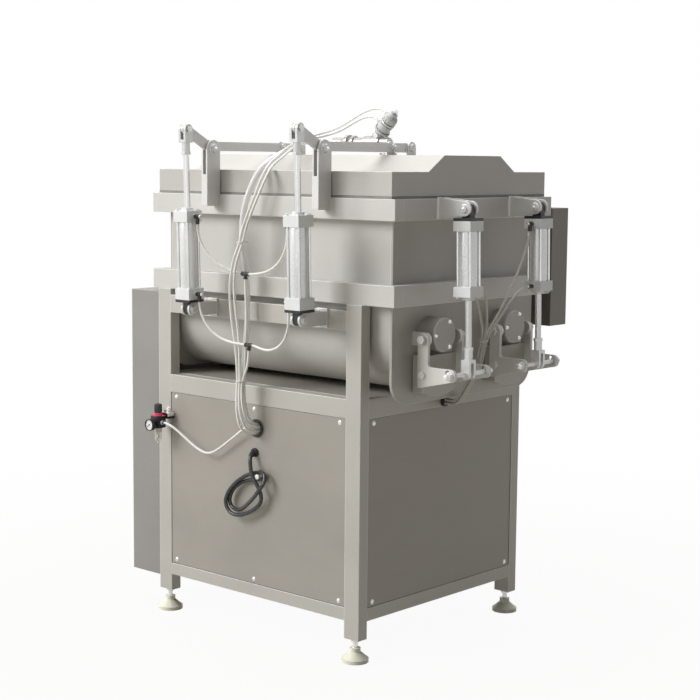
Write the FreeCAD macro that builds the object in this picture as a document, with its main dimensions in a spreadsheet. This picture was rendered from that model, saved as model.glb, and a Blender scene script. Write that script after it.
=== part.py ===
import FreeCAD, Part
import math
import os
import Sketcher

# A twin-shaft vacuum mixer: a welded tube frame carries a trough with two half-round bottoms, a lid that two
# air cylinders lift through bent levers, and two discharge doors that two more cylinders swing open.
# X runs along the shafts towards the discharge doors, Y towards the operator, Z up from the floor.
# Lengths are in millimetres and angles in degrees.

os.makedirs("parts", exist_ok=True)
doc = FreeCAD.newDocument("VacuumMixer")
sheet = doc.addObject("Spreadsheet::Sheet", "Sizes")

SIZES = {
    # frame
    "frame_long": 926,
    "frame_wide": 825,
    "frame_back_shift": 41.5,
    "leg_deep": 60,
    "leg_wide": 40,
    "leg_foot": 73,
    "tube_wall": 3,
    "foot_rail_low": 130,
    "foot_rail_tall": 41,
    "deck_rail_low": 769,
    "deck_rail_tall": 60,
    "head_rail_low": 1042,
    "head_rail_tall": 60,
    "panel_gap": 0.8,
    "panel_sheet": 2,
    "panel_recess": 2,
    "deck_sheet": 2,
    "panel_screw_in": 26,
    "panel_screw_radius": 5,
    "panel_screw_tall": 3,
    # feet
    "pad_radius": 42.5,
    "pad_rim": 12,
    "pad_cone_top": 33,
    "pad_neck_radius": 17,
    "pad_tall": 45,
    "stem_radius": 8,
    "nut_radius": 13,
    "nut_tall": 9,
    # trough
    "trough_long": 1000,
    "shaft_gap": 366,
    "shaft_level": 1027,
    "trough_radius": 172.5,
    "trough_wall": 5,
    "ridge_drop": 60,
    "end_plate": 8,
    "end_plate_low": 814,
    "rear_plate_drop": 4,
    "end_corner": 75,
    "ring_out": 42,
    "ring_tall": 65,
    "mid_ring_low": 1122,
    "top_ring_low": 1380,
    # lid
    "lid_long": 1040,
    "lid_wide": 785,
    "lid_low": 1454,
    "lid_skirt": 72,
    "lid_roof_half": 143.5,
    "lid_slope_half": 221,
    "lid_rise": 51,
    "lid_sheet": 4,
    "seal_wide": 16,
    # lid lift
    "lift_left": -228.5,
    "lift_right": 266.5,
    "lever_pivot_out": 23.5,
    "lever_pivot_level": 1593,
    "lever_tail_out": 111,
    "lever_tail_up": 61,
    "lever_thick": 10,
    "lever_wide": 32,
    "lever_slot_long": 17.5,
    "lever_slot_spare": 2.8,
    "lever_first_stud": 331,
    "lever_second_stud": 415,
    "lever_end": 434,
    "lever_arm_up": 9,
    "lift_pin_radius": 6,
    "stud_radius": 8,
    "bracket_plate": 6,
    "bracket_gap": 14,
    "bracket_half": 29,
    "bracket_low": 1408,
    "bracket_web_top": 1510,
    "base_pin_out": 108,
    "base_pin_level": 1075,
    "base_lug_half": 22,
    "lug_pad_tall": 60,
    "lug_pad_wide": 40,
    "lug_pad_thick": 8,
    "lug_plate": 8,
    # air cylinders
    "cap_side": 65,
    "cap_corner": 6,
    "tube_outer": 28,
    "tube_inner": 25,
    "tie_rod_radius": 4,
    "tie_rod_at": 23.2,
    "tie_nut_radius": 6,
    "tie_nut_tall": 4.5,
    "boss_radius": 19,
    "boss_tall": 9,
    "stud_nut_radius": 12.5,
    "pivot_nut_radius": 15,
    "lock_nut_radius": 15,
    "lock_nut_tall": 9,
    "rod_radius": 10,
    "rod_clearance": 0.1,
    "piston_clearance": 0.5,
    "piston_tall": 22,
    "eye_thick": 22,
    "eye_plate": 9,
    "lift_cap_low": 32,
    "lift_body_long": 287,
    "lift_cap_tall": 36,
    "door_cap_low": 37,
    "door_body_long": 230,
    "door_cap_tall": 31,
    "clevis_wide": 32,
    "clevis_slot": 14,
    "clevis_ear_low": 43,
    "clevis_neck_low": 72,
    "clevis_neck_radius": 13,
    "elbow_radius": 7,
    "elbow_long": 24,
    "elbow_out": 14,
    "elbow_drop": 24,
    # discharge doors
    "fork_out": 104,
    "fork_level": 1417,
    "fork_half": 23,
    "fork_gap": 28,
    "fork_plate": 6,
    "fork_root_tall": 66,
    "door_pivot_out": 50,
    "door_pivot_level": 1018,
    "door_bar_out": 157,
    "door_bar_level": 915,
    "door_half": 80.5,
    "door_top": 966,
    "door_low_radius": 192,
    "door_thick": 41,
    "door_seal": 4,
    "door_hole_half": 62,
    "door_hole_top": 950,
    "arm_plate": 10,
    "arm_strip": 40,
    "arm_nose": 20,
    "arm_fillet": 10,
    "arm_tip_drop": 46,
    "arm_slot_long": 13,
    "arm_slot_spare": 1.5,
    "bar_radius": 7,
    "bar_end": 24,
    "bar_washer_thick": 3,
    "bar_nut_tall": 8,
    "nut_washer_radius": 14,
    "door_lug_plate": 8,
    "door_lug_half": 21,
    "running_gap": 0.05,
    "side_gap": 0.5,
    # shafts
    "shaft_radius": 30,
    "shaft_hole_radius": 34,
    "housing_radius": 54,
    "housing_long": 64,
    "housing_face": 8,
    "rear_housing_long": 30,
    "shaft_tail": 38,
    "paddle_reach": 168,
    "paddle_arm_radius": 14,
    "paddle_long": 92,
    "paddle_tall": 58,
    "paddle_thick": 12,
    "paddle_turn": 38,
    "paddle_first": -405,
    "paddle_pitch": 162,
    "paddle_count": 6,
    # cabinets
    "cabinet_deep": 141,
    "cabinet_low": 118.5,
    "cabinet_top": 1110,
    "cabinet_sheet": 3,
    "box_deep": 92,
    "box_long": 400,
    "box_end_in": 12.5,
    "box_low": 1008,
    "box_top": 1406,
    "box_rail_in": 24,
    "box_rail_tall": 40,
    "box_standoff": 28,
    # regulator
    "regulator_in": 46,
    "regulator_out": 46,
    "knob_radius": 13.5,
    "knob_low": 700,
    "knob_tall": 30,
    "ring_radius": 17,
    "ring_low": 689,
    "ring_height": 11,
    "regulator_side": 36,
    "regulator_low": 649,
    "gauge_radius": 20.5,
    "gauge_deep": 18,
    "gauge_level": 662,
    "bowl_radius": 16,
    "bowl_low": 600,
    "collar_radius": 19,
    "collar_tall": 10,
    # vacuum valve
    "valve_x": 103,
    "valve_level": 1621,
    "pipe_radius": 15,
    "pipe_left": -75,
    "pipe_down_x": 168,
    "union_along": 62,
    "union_long": 12,
    "union_out": 9,
    "seat_ring_along": 90,
    "seat_ring_long": 8,
    "seat_ring_out": 6,
    "valve_body_long": 68,
    "valve_body_out": 5,
    "valve_flange_out": 14,
    "valve_flange_tall": 8,
    "bonnet_out": 2,
    "valve_tilt": 45,
    "actuator_radius": 23,
    "actuator_low": 50,
    "actuator_long": 78,
    "actuator_rim_out": 5,
    "actuator_rim_tall": 7,
    "actuator_groove": 34,
    "actuator_groove_deep": 1.5,
    "actuator_crown": 18,
    "actuator_crown_in": 4,
    "actuator_crown_step": 12,
    "actuator_boss_radius": 13,
    "actuator_boss_tall": 9,
    "indicator_radius": 8,
    "indicator_gap": 0.2,
    "indicator_deep": 12,
    "valve_port_low": 65,
    "valve_port_high": 102.5,
    "valve_port_reach": 29.8,
    "valve_port_radius": 6.5,
    "valve_port_aside": 4,
    # cord fittings
    "big_grommet_x": -29.5,
    "big_grommet_level": 691.5,
    "big_grommet_radius": 29,
    "small_grommet_x": -36,
    "small_grommet_level": 611,
    "small_grommet_radius": 14,
    "grommet_lip": 4.5,
    "grommet_wall": 1.5,
    "end_grommet_y": -5,
    "end_grommet_level": 787,
    "end_grommet_radius": 17,
    "hook_x": 9,
    "hook_level": 541,
    "air_tube_radius": 4,
    "hose_radius": 9.5,
    "lead_radius": 6.5,
}


class Size:
    """A number that also knows the sheet formula it comes from."""

    def __init__(self, value, text):
        self.value = float(value)
        self.text = text

    def __add__(self, other):
        other = as_size(other)
        return Size(self.value + other.value, f"({self.text} + {other.text})")

    def __radd__(self, other):
        return as_size(other) + self

    def __sub__(self, other):
        other = as_size(other)
        return Size(self.value - other.value, f"({self.text} - {other.text})")

    def __rsub__(self, other):
        return as_size(other) - self

    def __mul__(self, other):
        other = as_size(other)
        return Size(self.value * other.value, f"({self.text} * {other.text})")

    def __rmul__(self, other):
        return as_size(other) * self

    def __truediv__(self, other):
        other = as_size(other)
        return Size(self.value / other.value, f"({self.text} / {other.text})")

    def __neg__(self):
        return Size(-self.value, f"(0 - {self.text})")

    def __float__(self):
        return self.value


def as_size(number):
    if isinstance(number, Size):
        return number
    return Size(number, f"({float(number)!r})")


class Sizes:
    """The sheet's cells, each under its own name."""


def fill_sheet():
    s = Sizes()
    for row, (name, number) in enumerate(SIZES.items(), start=1):
        sheet.set(f"A{row}", name)
        sheet.set(f"B{row}", str(number))
        sheet.setAlias(f"B{row}", name)
        setattr(s, name, Size(number, f"Sizes.{name}"))
    doc.recompute()
    return s


s = fill_sheet()
NODES = []
CORDS = []


# Building blocks

def bind(obj, prop, size):
    size = as_size(size)
    setattr(obj, prop, size.value)
    if "Sizes." in size.text:
        obj.setExpression(prop, size.text)


def put(obj, x, y, z, turn=None):
    place = FreeCAD.Placement(FreeCAD.Vector(float(x), float(y), float(z)), turn or FreeCAD.Rotation())
    obj.Placement = place
    for letter, size in zip("xyz", (x, y, z)):
        size = as_size(size)
        if "Sizes." in size.text:
            obj.setExpression(f"Placement.Base.{letter}", size.text)
    return obj


def bar(x, y, z):
    """A box from pairs of limits."""
    b = doc.addObject("Part::Box", "Bar")
    bind(b, "Length", as_size(x[1]) - x[0])
    bind(b, "Width", as_size(y[1]) - y[0])
    bind(b, "Height", as_size(z[1]) - z[0])
    return put(b, x[0], y[0], z[0])


TURNS = {
    "X": FreeCAD.Rotation(FreeCAD.Vector(0, 1, 0), 90),
    "Y": FreeCAD.Rotation(FreeCAD.Vector(1, 0, 0), -90),
    "Z": FreeCAD.Rotation(),
}


def rod(axis, x, y, z, radius, length):
    """A cylinder from a point along an axis."""
    c = doc.addObject("Part::Cylinder", "Rod")
    bind(c, "Radius", radius)
    bind(c, "Height", length)
    return put(c, x, y, z, TURNS[axis])


def cone(axis, x, y, z, low, high, length):
    c = doc.addObject("Part::Cone", "Cone")
    bind(c, "Radius1", low)
    bind(c, "Radius2", high)
    bind(c, "Height", length)
    return put(c, x, y, z, TURNS[axis])


def hex_nut(axis, x, y, z, radius, tall):
    """A six-sided nut or bolt head from a point along an axis, with its corners at the radius."""
    nut = doc.addObject("Part::Prism", "Nut")
    nut.Polygon = 6
    bind(nut, "Circumradius", radius)
    bind(nut, "Height", tall)
    return put(nut, x, y, z, TURNS[axis])


def fuse(*pieces):
    f = doc.addObject("Part::MultiFuse", "Fused")
    f.Shapes = list(pieces)
    return f


def cut(base, *tools):
    tool = tools[0] if len(tools) == 1 else fuse(*tools)
    c = doc.addObject("Part::Cut", "Cut")
    c.Base = base
    c.Tool = tool
    return c


def common(base, tool):
    c = doc.addObject("Part::Common", "Common")
    c.Base = base
    c.Tool = tool
    return c


def group(*pieces):
    c = doc.addObject("Part::Compound", "Group")
    c.Links = list(pieces)
    return c


def rounded(obj, radius, wanted):
    """Round the edges that a test picks."""
    doc.recompute()
    f = doc.addObject("Part::Fillet", "Rounded")
    f.Base = obj
    picks = [i for i, e in enumerate(obj.Shape.Edges, start=1) if wanted(e)]
    f.Edges = [(i, float(radius), float(radius)) for i in picks]
    return f


def finish(obj, label, turn=None, at=(0, 0, 0)):
    """Give a sub-part its label and its place."""
    obj.Label = label
    obj.Placement = FreeCAD.Placement(FreeCAD.Vector(*[float(a) for a in at]), turn or FreeCAD.Rotation())
    NODES.append(obj)
    return obj


def new_body(name):
    return doc.addObject("PartDesign::Body", name)


def sketch_on(body, plane, offset=0):
    sk = body.newObject("Sketcher::SketchObject", "Sketch")
    face = next(f for f in body.Origin.OriginFeatures if f.Role == plane)
    sk.AttachmentSupport = [(face, "")]
    sk.MapMode = "FlatFace"
    offset = as_size(offset)
    sk.AttachmentOffset = FreeCAD.Placement(FreeCAD.Vector(0, 0, offset.value), FreeCAD.Rotation())
    if "Sizes." in offset.text:
        sk.setExpression("AttachmentOffset.Base.z", offset.text)
    return sk


def hold(sk, geometry, end, x, y):
    """Tie a point of a sketch to its coordinates."""
    for kind, size, line in (("DistanceX", as_size(x), -2), ("DistanceY", as_size(y), -1)):
        if "Sizes." not in size.text and size.value == 0:
            sk.addConstraint(Sketcher.Constraint("PointOnObject", geometry, end, line))
            continue
        n = sk.addConstraint(Sketcher.Constraint(kind, -1, 1, geometry, end, size.value))
        if "Sizes." in size.text:
            sk.setExpression(f"Constraints[{n}]", size.text)


def outline(sk, points):
    first = sk.GeometryCount
    count = len(points)
    for i in range(count):
        a = points[i]
        b = points[(i + 1) % count]
        start = FreeCAD.Vector(float(a[0]), float(a[1]), 0)
        stop = FreeCAD.Vector(float(b[0]), float(b[1]), 0)
        sk.addGeometry(Part.LineSegment(start, stop), False)
    for i in range(count):
        sk.addConstraint(Sketcher.Constraint("Coincident", first + i, 2, first + (i + 1) % count, 1))
    for i in range(count):
        hold(sk, first + i, 1, points[i][0], points[i][1])


def ring_line(sk, x, y, radius):
    radius = as_size(radius)
    centre = FreeCAD.Vector(float(x), float(y), 0)
    g = sk.addGeometry(Part.Circle(centre, FreeCAD.Vector(0, 0, 1), radius.value), False)
    hold(sk, g, 3, x, y)
    n = sk.addConstraint(Sketcher.Constraint("Radius", g, radius.value))
    if "Sizes." in radius.text:
        sk.setExpression(f"Constraints[{n}]", radius.text)


def padded(body, sk, length):
    p = body.newObject("PartDesign::Pad", "Pad")
    p.Profile = sk
    bind(p, "Length", length)
    sk.Visibility = False
    return p


def plate(name, plane, offset, points, length, holes=()):
    """A flat plate from its outline, with round holes."""
    body = new_body(name)
    sk = sketch_on(body, plane, offset)
    outline(sk, points)
    for x, y, radius in holes:
        ring_line(sk, x, y, radius)
    padded(body, sk, length)
    return body


def corner_round(body, radius, spots, plane):
    """Round the corners of a plate that stand at the given spots."""
    doc.recompute()
    axes = {"YZ_Plane": (1, 2), "XZ_Plane": (0, 2), "XY_Plane": (0, 1)}[plane]

    def at_spot(edge):
        if len(edge.Vertexes) != 2:
            return False
        for spot in spots:
            near = [
                abs(v.Point[axes[0]] - float(spot[0])) + abs(v.Point[axes[1]] - float(spot[1])) < 0.05
                for v in edge.Vertexes
            ]
            if all(near):
                return True
        return False

    base = body.Tip
    names = [f"Edge{i}" for i, e in enumerate(base.Shape.Edges, start=1) if at_spot(e)]
    f = body.newObject("PartDesign::Fillet", "Fillet")
    f.Base = (base, names)
    bind(f, "Radius", radius)
    body.Tip = f
    return f


def turned(name, points):
    """A solid of revolution about Z from radius and height pairs."""
    body = new_body(name)
    sk = sketch_on(body, "XZ_Plane")
    outline(sk, points)
    r = body.newObject("PartDesign::Revolution", "Revolution")
    r.Profile = sk
    r.ReferenceAxis = (sk, ["V_Axis"])
    r.Angle = 360
    sk.Visibility = False
    return body


# Places that several sub-parts share

FRONT = s.frame_long / 2 - s.frame_back_shift
REAR = -s.frame_long / 2 - s.frame_back_shift
SIDE = s.frame_wide / 2
TROUGH_END = s.trough_long / 2
SHAFT_Y = s.shaft_gap / 2
TROUGH_OUT = s.trough_radius + s.trough_wall
TROUGH_SIDE = SHAFT_Y + TROUGH_OUT
RING_END = TROUGH_END + s.ring_out
RING_SIDE = TROUGH_SIDE + s.ring_out
TOP_RING_TOP = s.top_ring_low + s.ring_tall
LID_TOP = s.lid_low + s.lid_skirt
ROOF = LID_TOP + s.lid_rise
PIVOT_Y = -(RING_SIDE + s.lever_pivot_out)
PIVOT_Z = s.lever_pivot_level
TAIL_Y = PIVOT_Y - s.lever_tail_out
TAIL_Z = PIVOT_Z + s.lever_tail_up
STUD_Z = PIVOT_Z + s.lever_arm_up
BASE_Y = -(SIDE + s.base_pin_out)
BASE_Z = s.base_pin_level
FORK_X = RING_END + s.fork_out
DOOR_X = TROUGH_END + s.door_pivot_out
BAR_X = TROUGH_END + s.door_bar_out
SIDES = (-1, 1)


# Frame

def hollow_bar(x, y, z):
    wall = s.tube_wall
    inner = bar((x[0] + wall, x[1] - wall), (y[0] + wall, y[1] - wall), (z[0] + wall, z[1] - wall))
    return cut(bar(x, y, z), inner)


def side_span(side, depth):
    """The limits in Y of a strip just inside the frame's face."""
    if side < 0:
        return (-SIDE, -SIDE + depth)
    return (SIDE - depth, SIDE)


def end_span(end, depth):
    if end < 0:
        return (REAR, REAR + depth)
    return (FRONT - depth, FRONT)


def frame_tubes():
    pieces = []
    for end in SIDES:
        for side in SIDES:
            pieces.append(hollow_bar(end_span(end, s.leg_deep), side_span(side, s.leg_wide),
                                     (s.leg_foot, s.mid_ring_low)))
    finish(group(*pieces, *frame_rails()), "frame_tubes")


def frame_rails():
    levels = {
        "foot": (s.foot_rail_low, s.foot_rail_low + s.foot_rail_tall),
        "deck": (s.deck_rail_low, s.deck_rail_low + s.deck_rail_tall),
        "head": (s.head_rail_low, s.head_rail_low + s.head_rail_tall),
    }
    rails = []
    long_span = (REAR + s.leg_deep, FRONT - s.leg_deep)
    cross_span = (-SIDE + s.leg_wide, SIDE - s.leg_wide)
    for level in levels.values():
        for side in SIDES:
            rails.append(hollow_bar(long_span, side_span(side, s.leg_wide), level))
    for name in ("foot", "deck"):
        for end in SIDES:
            rails.append(hollow_bar(end_span(end, s.leg_deep), cross_span, levels[name]))
    return rails


def base_panels():
    low = s.foot_rail_low + s.foot_rail_tall
    gap = s.panel_gap
    level = (low + gap, s.deck_rail_low - gap)
    span = (REAR + s.leg_deep + gap, FRONT - s.leg_deep - gap)
    cross = (-SIDE + s.leg_wide + gap, SIDE - s.leg_wide - gap)
    outer = SIDE - s.panel_recess
    inner = outer - s.panel_sheet
    near = bar(span, (-outer, -inner), level)
    big = rod("Y", s.big_grommet_x, -outer - 1, s.big_grommet_level, s.big_grommet_radius - s.grommet_lip,
              s.panel_sheet + 2)
    small = rod("Y", s.small_grommet_x, -outer - 1, s.small_grommet_level,
                s.small_grommet_radius - s.grommet_lip, s.panel_sheet + 2)
    near = cut(near, big, small)
    far = bar(span, (inner, outer), level)
    end_outer = FRONT - s.panel_recess
    end = bar((end_outer - s.panel_sheet, end_outer), cross, level)
    deck_low = s.deck_rail_low + s.deck_rail_tall
    deck = bar((REAR, FRONT), (-SIDE + s.leg_wide, SIDE - s.leg_wide), (deck_low, deck_low + s.deck_sheet))
    finish(group(near, far, end, deck), "base_panels")


def frame_screws():
    heads = []
    low = s.foot_rail_low + s.foot_rail_tall + 16
    high = s.deck_rail_low - 16
    face = SIDE - s.panel_recess
    left = REAR + s.leg_deep + s.panel_screw_in
    right = FRONT - s.leg_deep - s.panel_screw_in
    middle = (left + right) / 2
    for x in (left, middle, right):
        for z in (low, high):
            heads.append(cone("Y", x, -face - s.panel_screw_tall, z, s.panel_screw_radius - 1.5,
                              s.panel_screw_radius, s.panel_screw_tall))
            heads.append(cone("Y", x, face, z, s.panel_screw_radius, s.panel_screw_radius - 1.5,
                              s.panel_screw_tall))
    end_face = FRONT - s.panel_recess
    across = SIDE - s.leg_wide - s.panel_screw_in
    for y in (-across, across):
        for z in (low, high):
            heads.append(cone("X", end_face, y, z, s.panel_screw_radius, s.panel_screw_radius - 1.5,
                              s.panel_screw_tall))
    for side in SIDES:
        for turn in (60, 180, 300):
            away = s.housing_radius - 9
            y = SHAFT_Y * side + away * math.cos(math.radians(turn))
            z = s.shaft_level + away * math.sin(math.radians(turn))
            heads.append(cone("X", TROUGH_END + s.housing_long, y, z, 7, 4, 5))
    finish(group(*heads, cable_hook()), "frame_screws")


def feet():
    pads = []
    stems = []
    for end in SIDES:
        for side in SIDES:
            x = FRONT - s.leg_deep / 2 if end > 0 else REAR + s.leg_deep / 2
            y = (SIDE - s.leg_wide / 2) * side
            pad = fuse(
                rod("Z", x, y, 0, s.pad_radius, s.pad_rim),
                cone("Z", x, y, s.pad_rim, s.pad_radius - 1.5, s.pad_neck_radius, s.pad_cone_top - s.pad_rim),
                rod("Z", x, y, s.pad_cone_top, s.pad_neck_radius, s.pad_tall - s.pad_cone_top),
            )
            pads.append(pad)
            stems.append(fuse(
                rod("Z", x, y, s.pad_tall, s.stem_radius, s.leg_foot - s.pad_tall),
                rod("Z", x, y, s.leg_foot - s.nut_tall, s.nut_radius, s.nut_tall),
            ))
    finish(group(*pads), "foot_pads")
    finish(group(*stems), "foot_stems")


# Trough

def trough_section(radius, side_out, top, floor_half, floor_low, length, start):
    """The trough's cross-section as a solid: two half rounds below a straight box."""
    box = bar((start, start + length), (-side_out, side_out), (s.shaft_level, top))
    rounds = [rod("X", start, SHAFT_Y * side, s.shaft_level, radius, length) for side in SIDES]
    floor = bar((start, start + length), (-floor_half, floor_half), (floor_low, s.shaft_level))
    return fuse(box, floor, *rounds)


def trough_shell():
    ridge = s.shaft_level - s.ridge_drop
    reach = math.sqrt(float(s.trough_radius) ** 2 - float(s.ridge_drop) ** 2)
    flat = SHAFT_Y - reach
    length = s.trough_long - s.end_plate * 2
    start = -TROUGH_END + s.end_plate
    outer = trough_section(TROUGH_OUT, TROUGH_SIDE, TOP_RING_TOP, flat, ridge - s.trough_wall, length, start)
    inner = trough_section(s.trough_radius, SHAFT_Y + s.trough_radius, TOP_RING_TOP + 1, flat, ridge,
                           length + 2, start - 1)
    finish(cut(outer, inner), "trough_shell")


def end_plate(name, start, low):
    side = TROUGH_SIDE
    holes = [(SHAFT_Y * hand, s.shaft_level, s.shaft_hole_radius) for hand in SIDES]
    points = [(-side, low), (side, low), (side, TOP_RING_TOP), (-side, TOP_RING_TOP)]
    body = plate(name, "YZ_Plane", start, points, s.end_plate, holes)
    corner_round(body, s.end_corner, points[:2], "YZ_Plane")
    return body


def trough_ends():
    rear = end_plate("RearEnd", -TROUGH_END, s.shaft_level - TROUGH_OUT - s.rear_plate_drop)
    front = end_plate("FrontEnd", TROUGH_END - s.end_plate, s.end_plate_low)
    openings = []
    for side in SIDES:
        round_part = rod("X", TROUGH_END - s.end_plate - 1, SHAFT_Y * side, s.shaft_level, s.trough_radius,
                         s.end_plate + 2)
        window = bar((TROUGH_END - s.end_plate - 2, TROUGH_END + 2),
                     (SHAFT_Y * side - s.door_hole_half, SHAFT_Y * side + s.door_hole_half),
                     (s.end_plate_low, s.door_hole_top))
        openings.append(common(round_part, window))
    finish(group(rear, cut(front, *openings)), "trough_ends")


def hollow_ring(low):
    level = (low, low + s.ring_tall)
    bars = []
    for side in SIDES:
        y = (TROUGH_SIDE, RING_SIDE) if side > 0 else (-RING_SIDE, -TROUGH_SIDE)
        bars.append(hollow_bar((-RING_END, RING_END), y, level))
    for end in SIDES:
        x = (TROUGH_END, RING_END) if end > 0 else (-RING_END, -TROUGH_END)
        bars.append(hollow_bar(x, (-TROUGH_SIDE, TROUGH_SIDE), level))
    return bars


def trough_rings():
    finish(group(*hollow_ring(s.mid_ring_low), *hollow_ring(s.top_ring_low)), "trough_rings")


def bearing_housings():
    pieces = []
    for side in SIDES:
        y = SHAFT_Y * side
        z = s.shaft_level
        body = fuse(
            rod("X", TROUGH_END, y, z, s.housing_radius, s.housing_long - 3),
            cone("X", TROUGH_END + s.housing_long - 3, y, z, s.housing_radius, s.housing_radius - 3, 3),
        )
        bore = rod("X", TROUGH_END - 1, y, z, s.shaft_radius + s.running_gap,
                   s.housing_long - s.housing_face + 1)
        pieces.append(cut(body, bore))
        back = rod("X", -TROUGH_END - s.rear_housing_long, y, z, s.housing_radius, s.rear_housing_long)
        back_bore = rod("X", -TROUGH_END - s.rear_housing_long - 1, y, z, s.shaft_radius + s.running_gap,
                        s.rear_housing_long + 2)
        pieces.append(cut(back, back_bore))
    finish(group(*pieces), "bearing_housings")


# Shafts and paddles

def paddle(side, index):
    """One arm with its slanted blade, standing up from the shaft's axis."""
    x = s.paddle_first + s.paddle_pitch * index
    y = SHAFT_Y * side
    z = s.shaft_level
    arm = rod("Z", 0, 0, s.shaft_radius - 4, s.paddle_arm_radius,
              s.paddle_reach - s.shaft_radius - s.paddle_tall / 2)
    blade = doc.addObject("Part::Box", "Blade")
    bind(blade, "Length", s.paddle_long)
    bind(blade, "Width", s.paddle_thick)
    bind(blade, "Height", s.paddle_tall)
    spin = FreeCAD.Rotation(FreeCAD.Vector(0, 0, 1), float(s.paddle_turn) * side)
    corner = spin.multVec(FreeCAD.Vector(-float(s.paddle_long) / 2, -float(s.paddle_thick) / 2, 0))
    low = float(s.paddle_reach) - float(s.paddle_tall)
    blade.Placement = FreeCAD.Placement(FreeCAD.Vector(corner.x, corner.y, low), spin)
    piece = fuse(arm, blade)
    angle = index * 60 * side + (30 if side > 0 else 0)
    piece.Placement = FreeCAD.Placement(FreeCAD.Vector(float(x), float(y), float(z)),
                                        FreeCAD.Rotation(FreeCAD.Vector(1, 0, 0), angle))
    return piece


def mixing_shaft(side, label):
    y = SHAFT_Y * side
    paddles = fuse(*[paddle(side, i) for i in range(int(float(s.paddle_count)))])
    sweep = rod("X", -TROUGH_END + s.end_plate + 4, y, s.shaft_level, s.paddle_reach,
                s.trough_long - s.end_plate * 2 - 8)
    start = -TROUGH_END - s.rear_housing_long - s.shaft_tail
    stop = TROUGH_END + s.housing_long - s.housing_face - 2
    shaft = rod("X", start, y, s.shaft_level, s.shaft_radius, stop - start)
    finish(fuse(shaft, common(paddles, sweep)), label)


# Lid

def lid_shell():
    half = s.lid_wide / 2
    outer = [
        (-half, s.lid_low), (half, s.lid_low), (half, LID_TOP), (s.lid_slope_half, LID_TOP),
        (s.lid_roof_half, ROOF), (-s.lid_roof_half, ROOF), (-s.lid_slope_half, LID_TOP), (-half, LID_TOP),
    ]
    wall = s.lid_sheet
    inner = [
        (-half + wall, s.lid_low - 1), (half - wall, s.lid_low - 1), (half - wall, LID_TOP - wall),
        (s.lid_slope_half - 1, LID_TOP - wall), (s.lid_roof_half - 1, ROOF - wall),
        (-s.lid_roof_half + 1, ROOF - wall), (-s.lid_slope_half + 1, LID_TOP - wall),
        (-half + wall, LID_TOP - wall),
    ]
    start = -s.lid_long / 2
    body = plate("LidShell", "YZ_Plane", start, outer, s.lid_long)
    hollow = new_body("LidHollow")
    sk = sketch_on(hollow, "YZ_Plane", start + wall)
    outline(sk, inner)
    padded(hollow, sk, s.lid_long - wall * 2)
    finish(cut(body, hollow), "lid_shell")


def lid_gasket():
    """The seal between the lid's skirt and the top ring, sitting in the gap."""
    level = (TOP_RING_TOP + 0.3, s.lid_low)
    half_x = s.lid_long / 2
    half_y = s.lid_wide / 2
    width = s.seal_wide
    bars = [
        bar((-half_x, half_x), (half_y - width, half_y), level),
        bar((-half_x, half_x), (-half_y, -half_y + width), level),
        bar((half_x - width, half_x), (-half_y + width, half_y - width), level),
        bar((-half_x, -half_x + width), (-half_y + width, half_y - width), level),
    ]
    finish(group(*bars), "lid_gasket")


def lever_angle():
    return math.degrees(math.atan2(float(s.lever_tail_up), float(s.lever_tail_out)))


def bent_lever(x):
    """One bent lever: a short tail with a slotted eye and a long arm with its studs."""
    reach = math.hypot(float(s.lever_tail_out), float(s.lever_tail_up))
    half = s.lever_wide / 2
    x0 = x - s.lever_thick / 2
    hub = rod("X", x0, PIVOT_Y, PIVOT_Z, half + 2, s.lever_thick)
    arm = bar((x0, x0 + s.lever_thick), (PIVOT_Y, PIVOT_Y + s.lever_end),
              (PIVOT_Z - half + s.lever_arm_up, PIVOT_Z + half + s.lever_arm_up - 2))
    tail = doc.addObject("Part::Box", "Tail")
    bind(tail, "Length", s.lever_thick)
    tail.Width = reach
    bind(tail, "Height", s.lever_wide)
    turn = FreeCAD.Rotation(FreeCAD.Vector(1, 0, 0), 180 - lever_angle())
    low = turn.multVec(FreeCAD.Vector(0, 0, -float(half)))
    tail.Placement = FreeCAD.Placement(
        FreeCAD.Vector(float(x0), float(PIVOT_Y) + low.y, float(PIVOT_Z) + low.z), turn)
    eye = rod("X", x0, TAIL_Y, TAIL_Z, half, s.lever_thick)
    slot = slotted(x0, s.lever_thick, TAIL_Y, TAIL_Z, s.lift_pin_radius + s.lever_slot_spare,
                   s.lever_slot_long, -lever_angle())
    holes = [
        rod("X", x0 - 1, PIVOT_Y, PIVOT_Z, s.stud_radius + s.running_gap, s.lever_thick + 2),
        rod("X", x0 - 1, PIVOT_Y + s.lever_first_stud, STUD_Z, s.stud_radius - 1.9, s.lever_thick + 2),
        rod("X", x0 - 1, PIVOT_Y + s.lever_second_stud, STUD_Z, s.stud_radius - 1.9, s.lever_thick + 2),
    ]
    return cut(fuse(hub, arm, tail, eye), slot, *holes)


def slotted(x0, thick, y, z, radius, travel, angle):
    """A slot cutter across X whose centre line starts at a point and runs at an angle in the YZ plane."""
    ends = []
    direction = (math.cos(math.radians(angle)), math.sin(math.radians(angle)))
    stop_y = float(y) + direction[0] * float(travel)
    stop_z = float(z) + direction[1] * float(travel)
    ends.append(rod("X", x0 - 1, y, z, radius, thick + 2))
    ends.append(rod("X", x0 - 1, stop_y, stop_z, radius, thick + 2))
    middle = doc.addObject("Part::Box", "SlotMiddle")
    middle.Length = float(thick) + 2
    middle.Width = float(travel)
    middle.Height = float(radius) * 2
    turn = FreeCAD.Rotation(FreeCAD.Vector(1, 0, 0), angle)
    low = turn.multVec(FreeCAD.Vector(0, 0, -float(radius)))
    middle.Placement = FreeCAD.Placement(
        FreeCAD.Vector(float(x0) - 1, float(y) + low.y, float(z) + low.z), turn)
    return fuse(middle, *ends)


def lid_levers():
    levers = [bent_lever(s.lift_left), bent_lever(s.lift_right)]
    finish(group(*levers, *lid_lugs()), "lid_levers")


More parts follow.
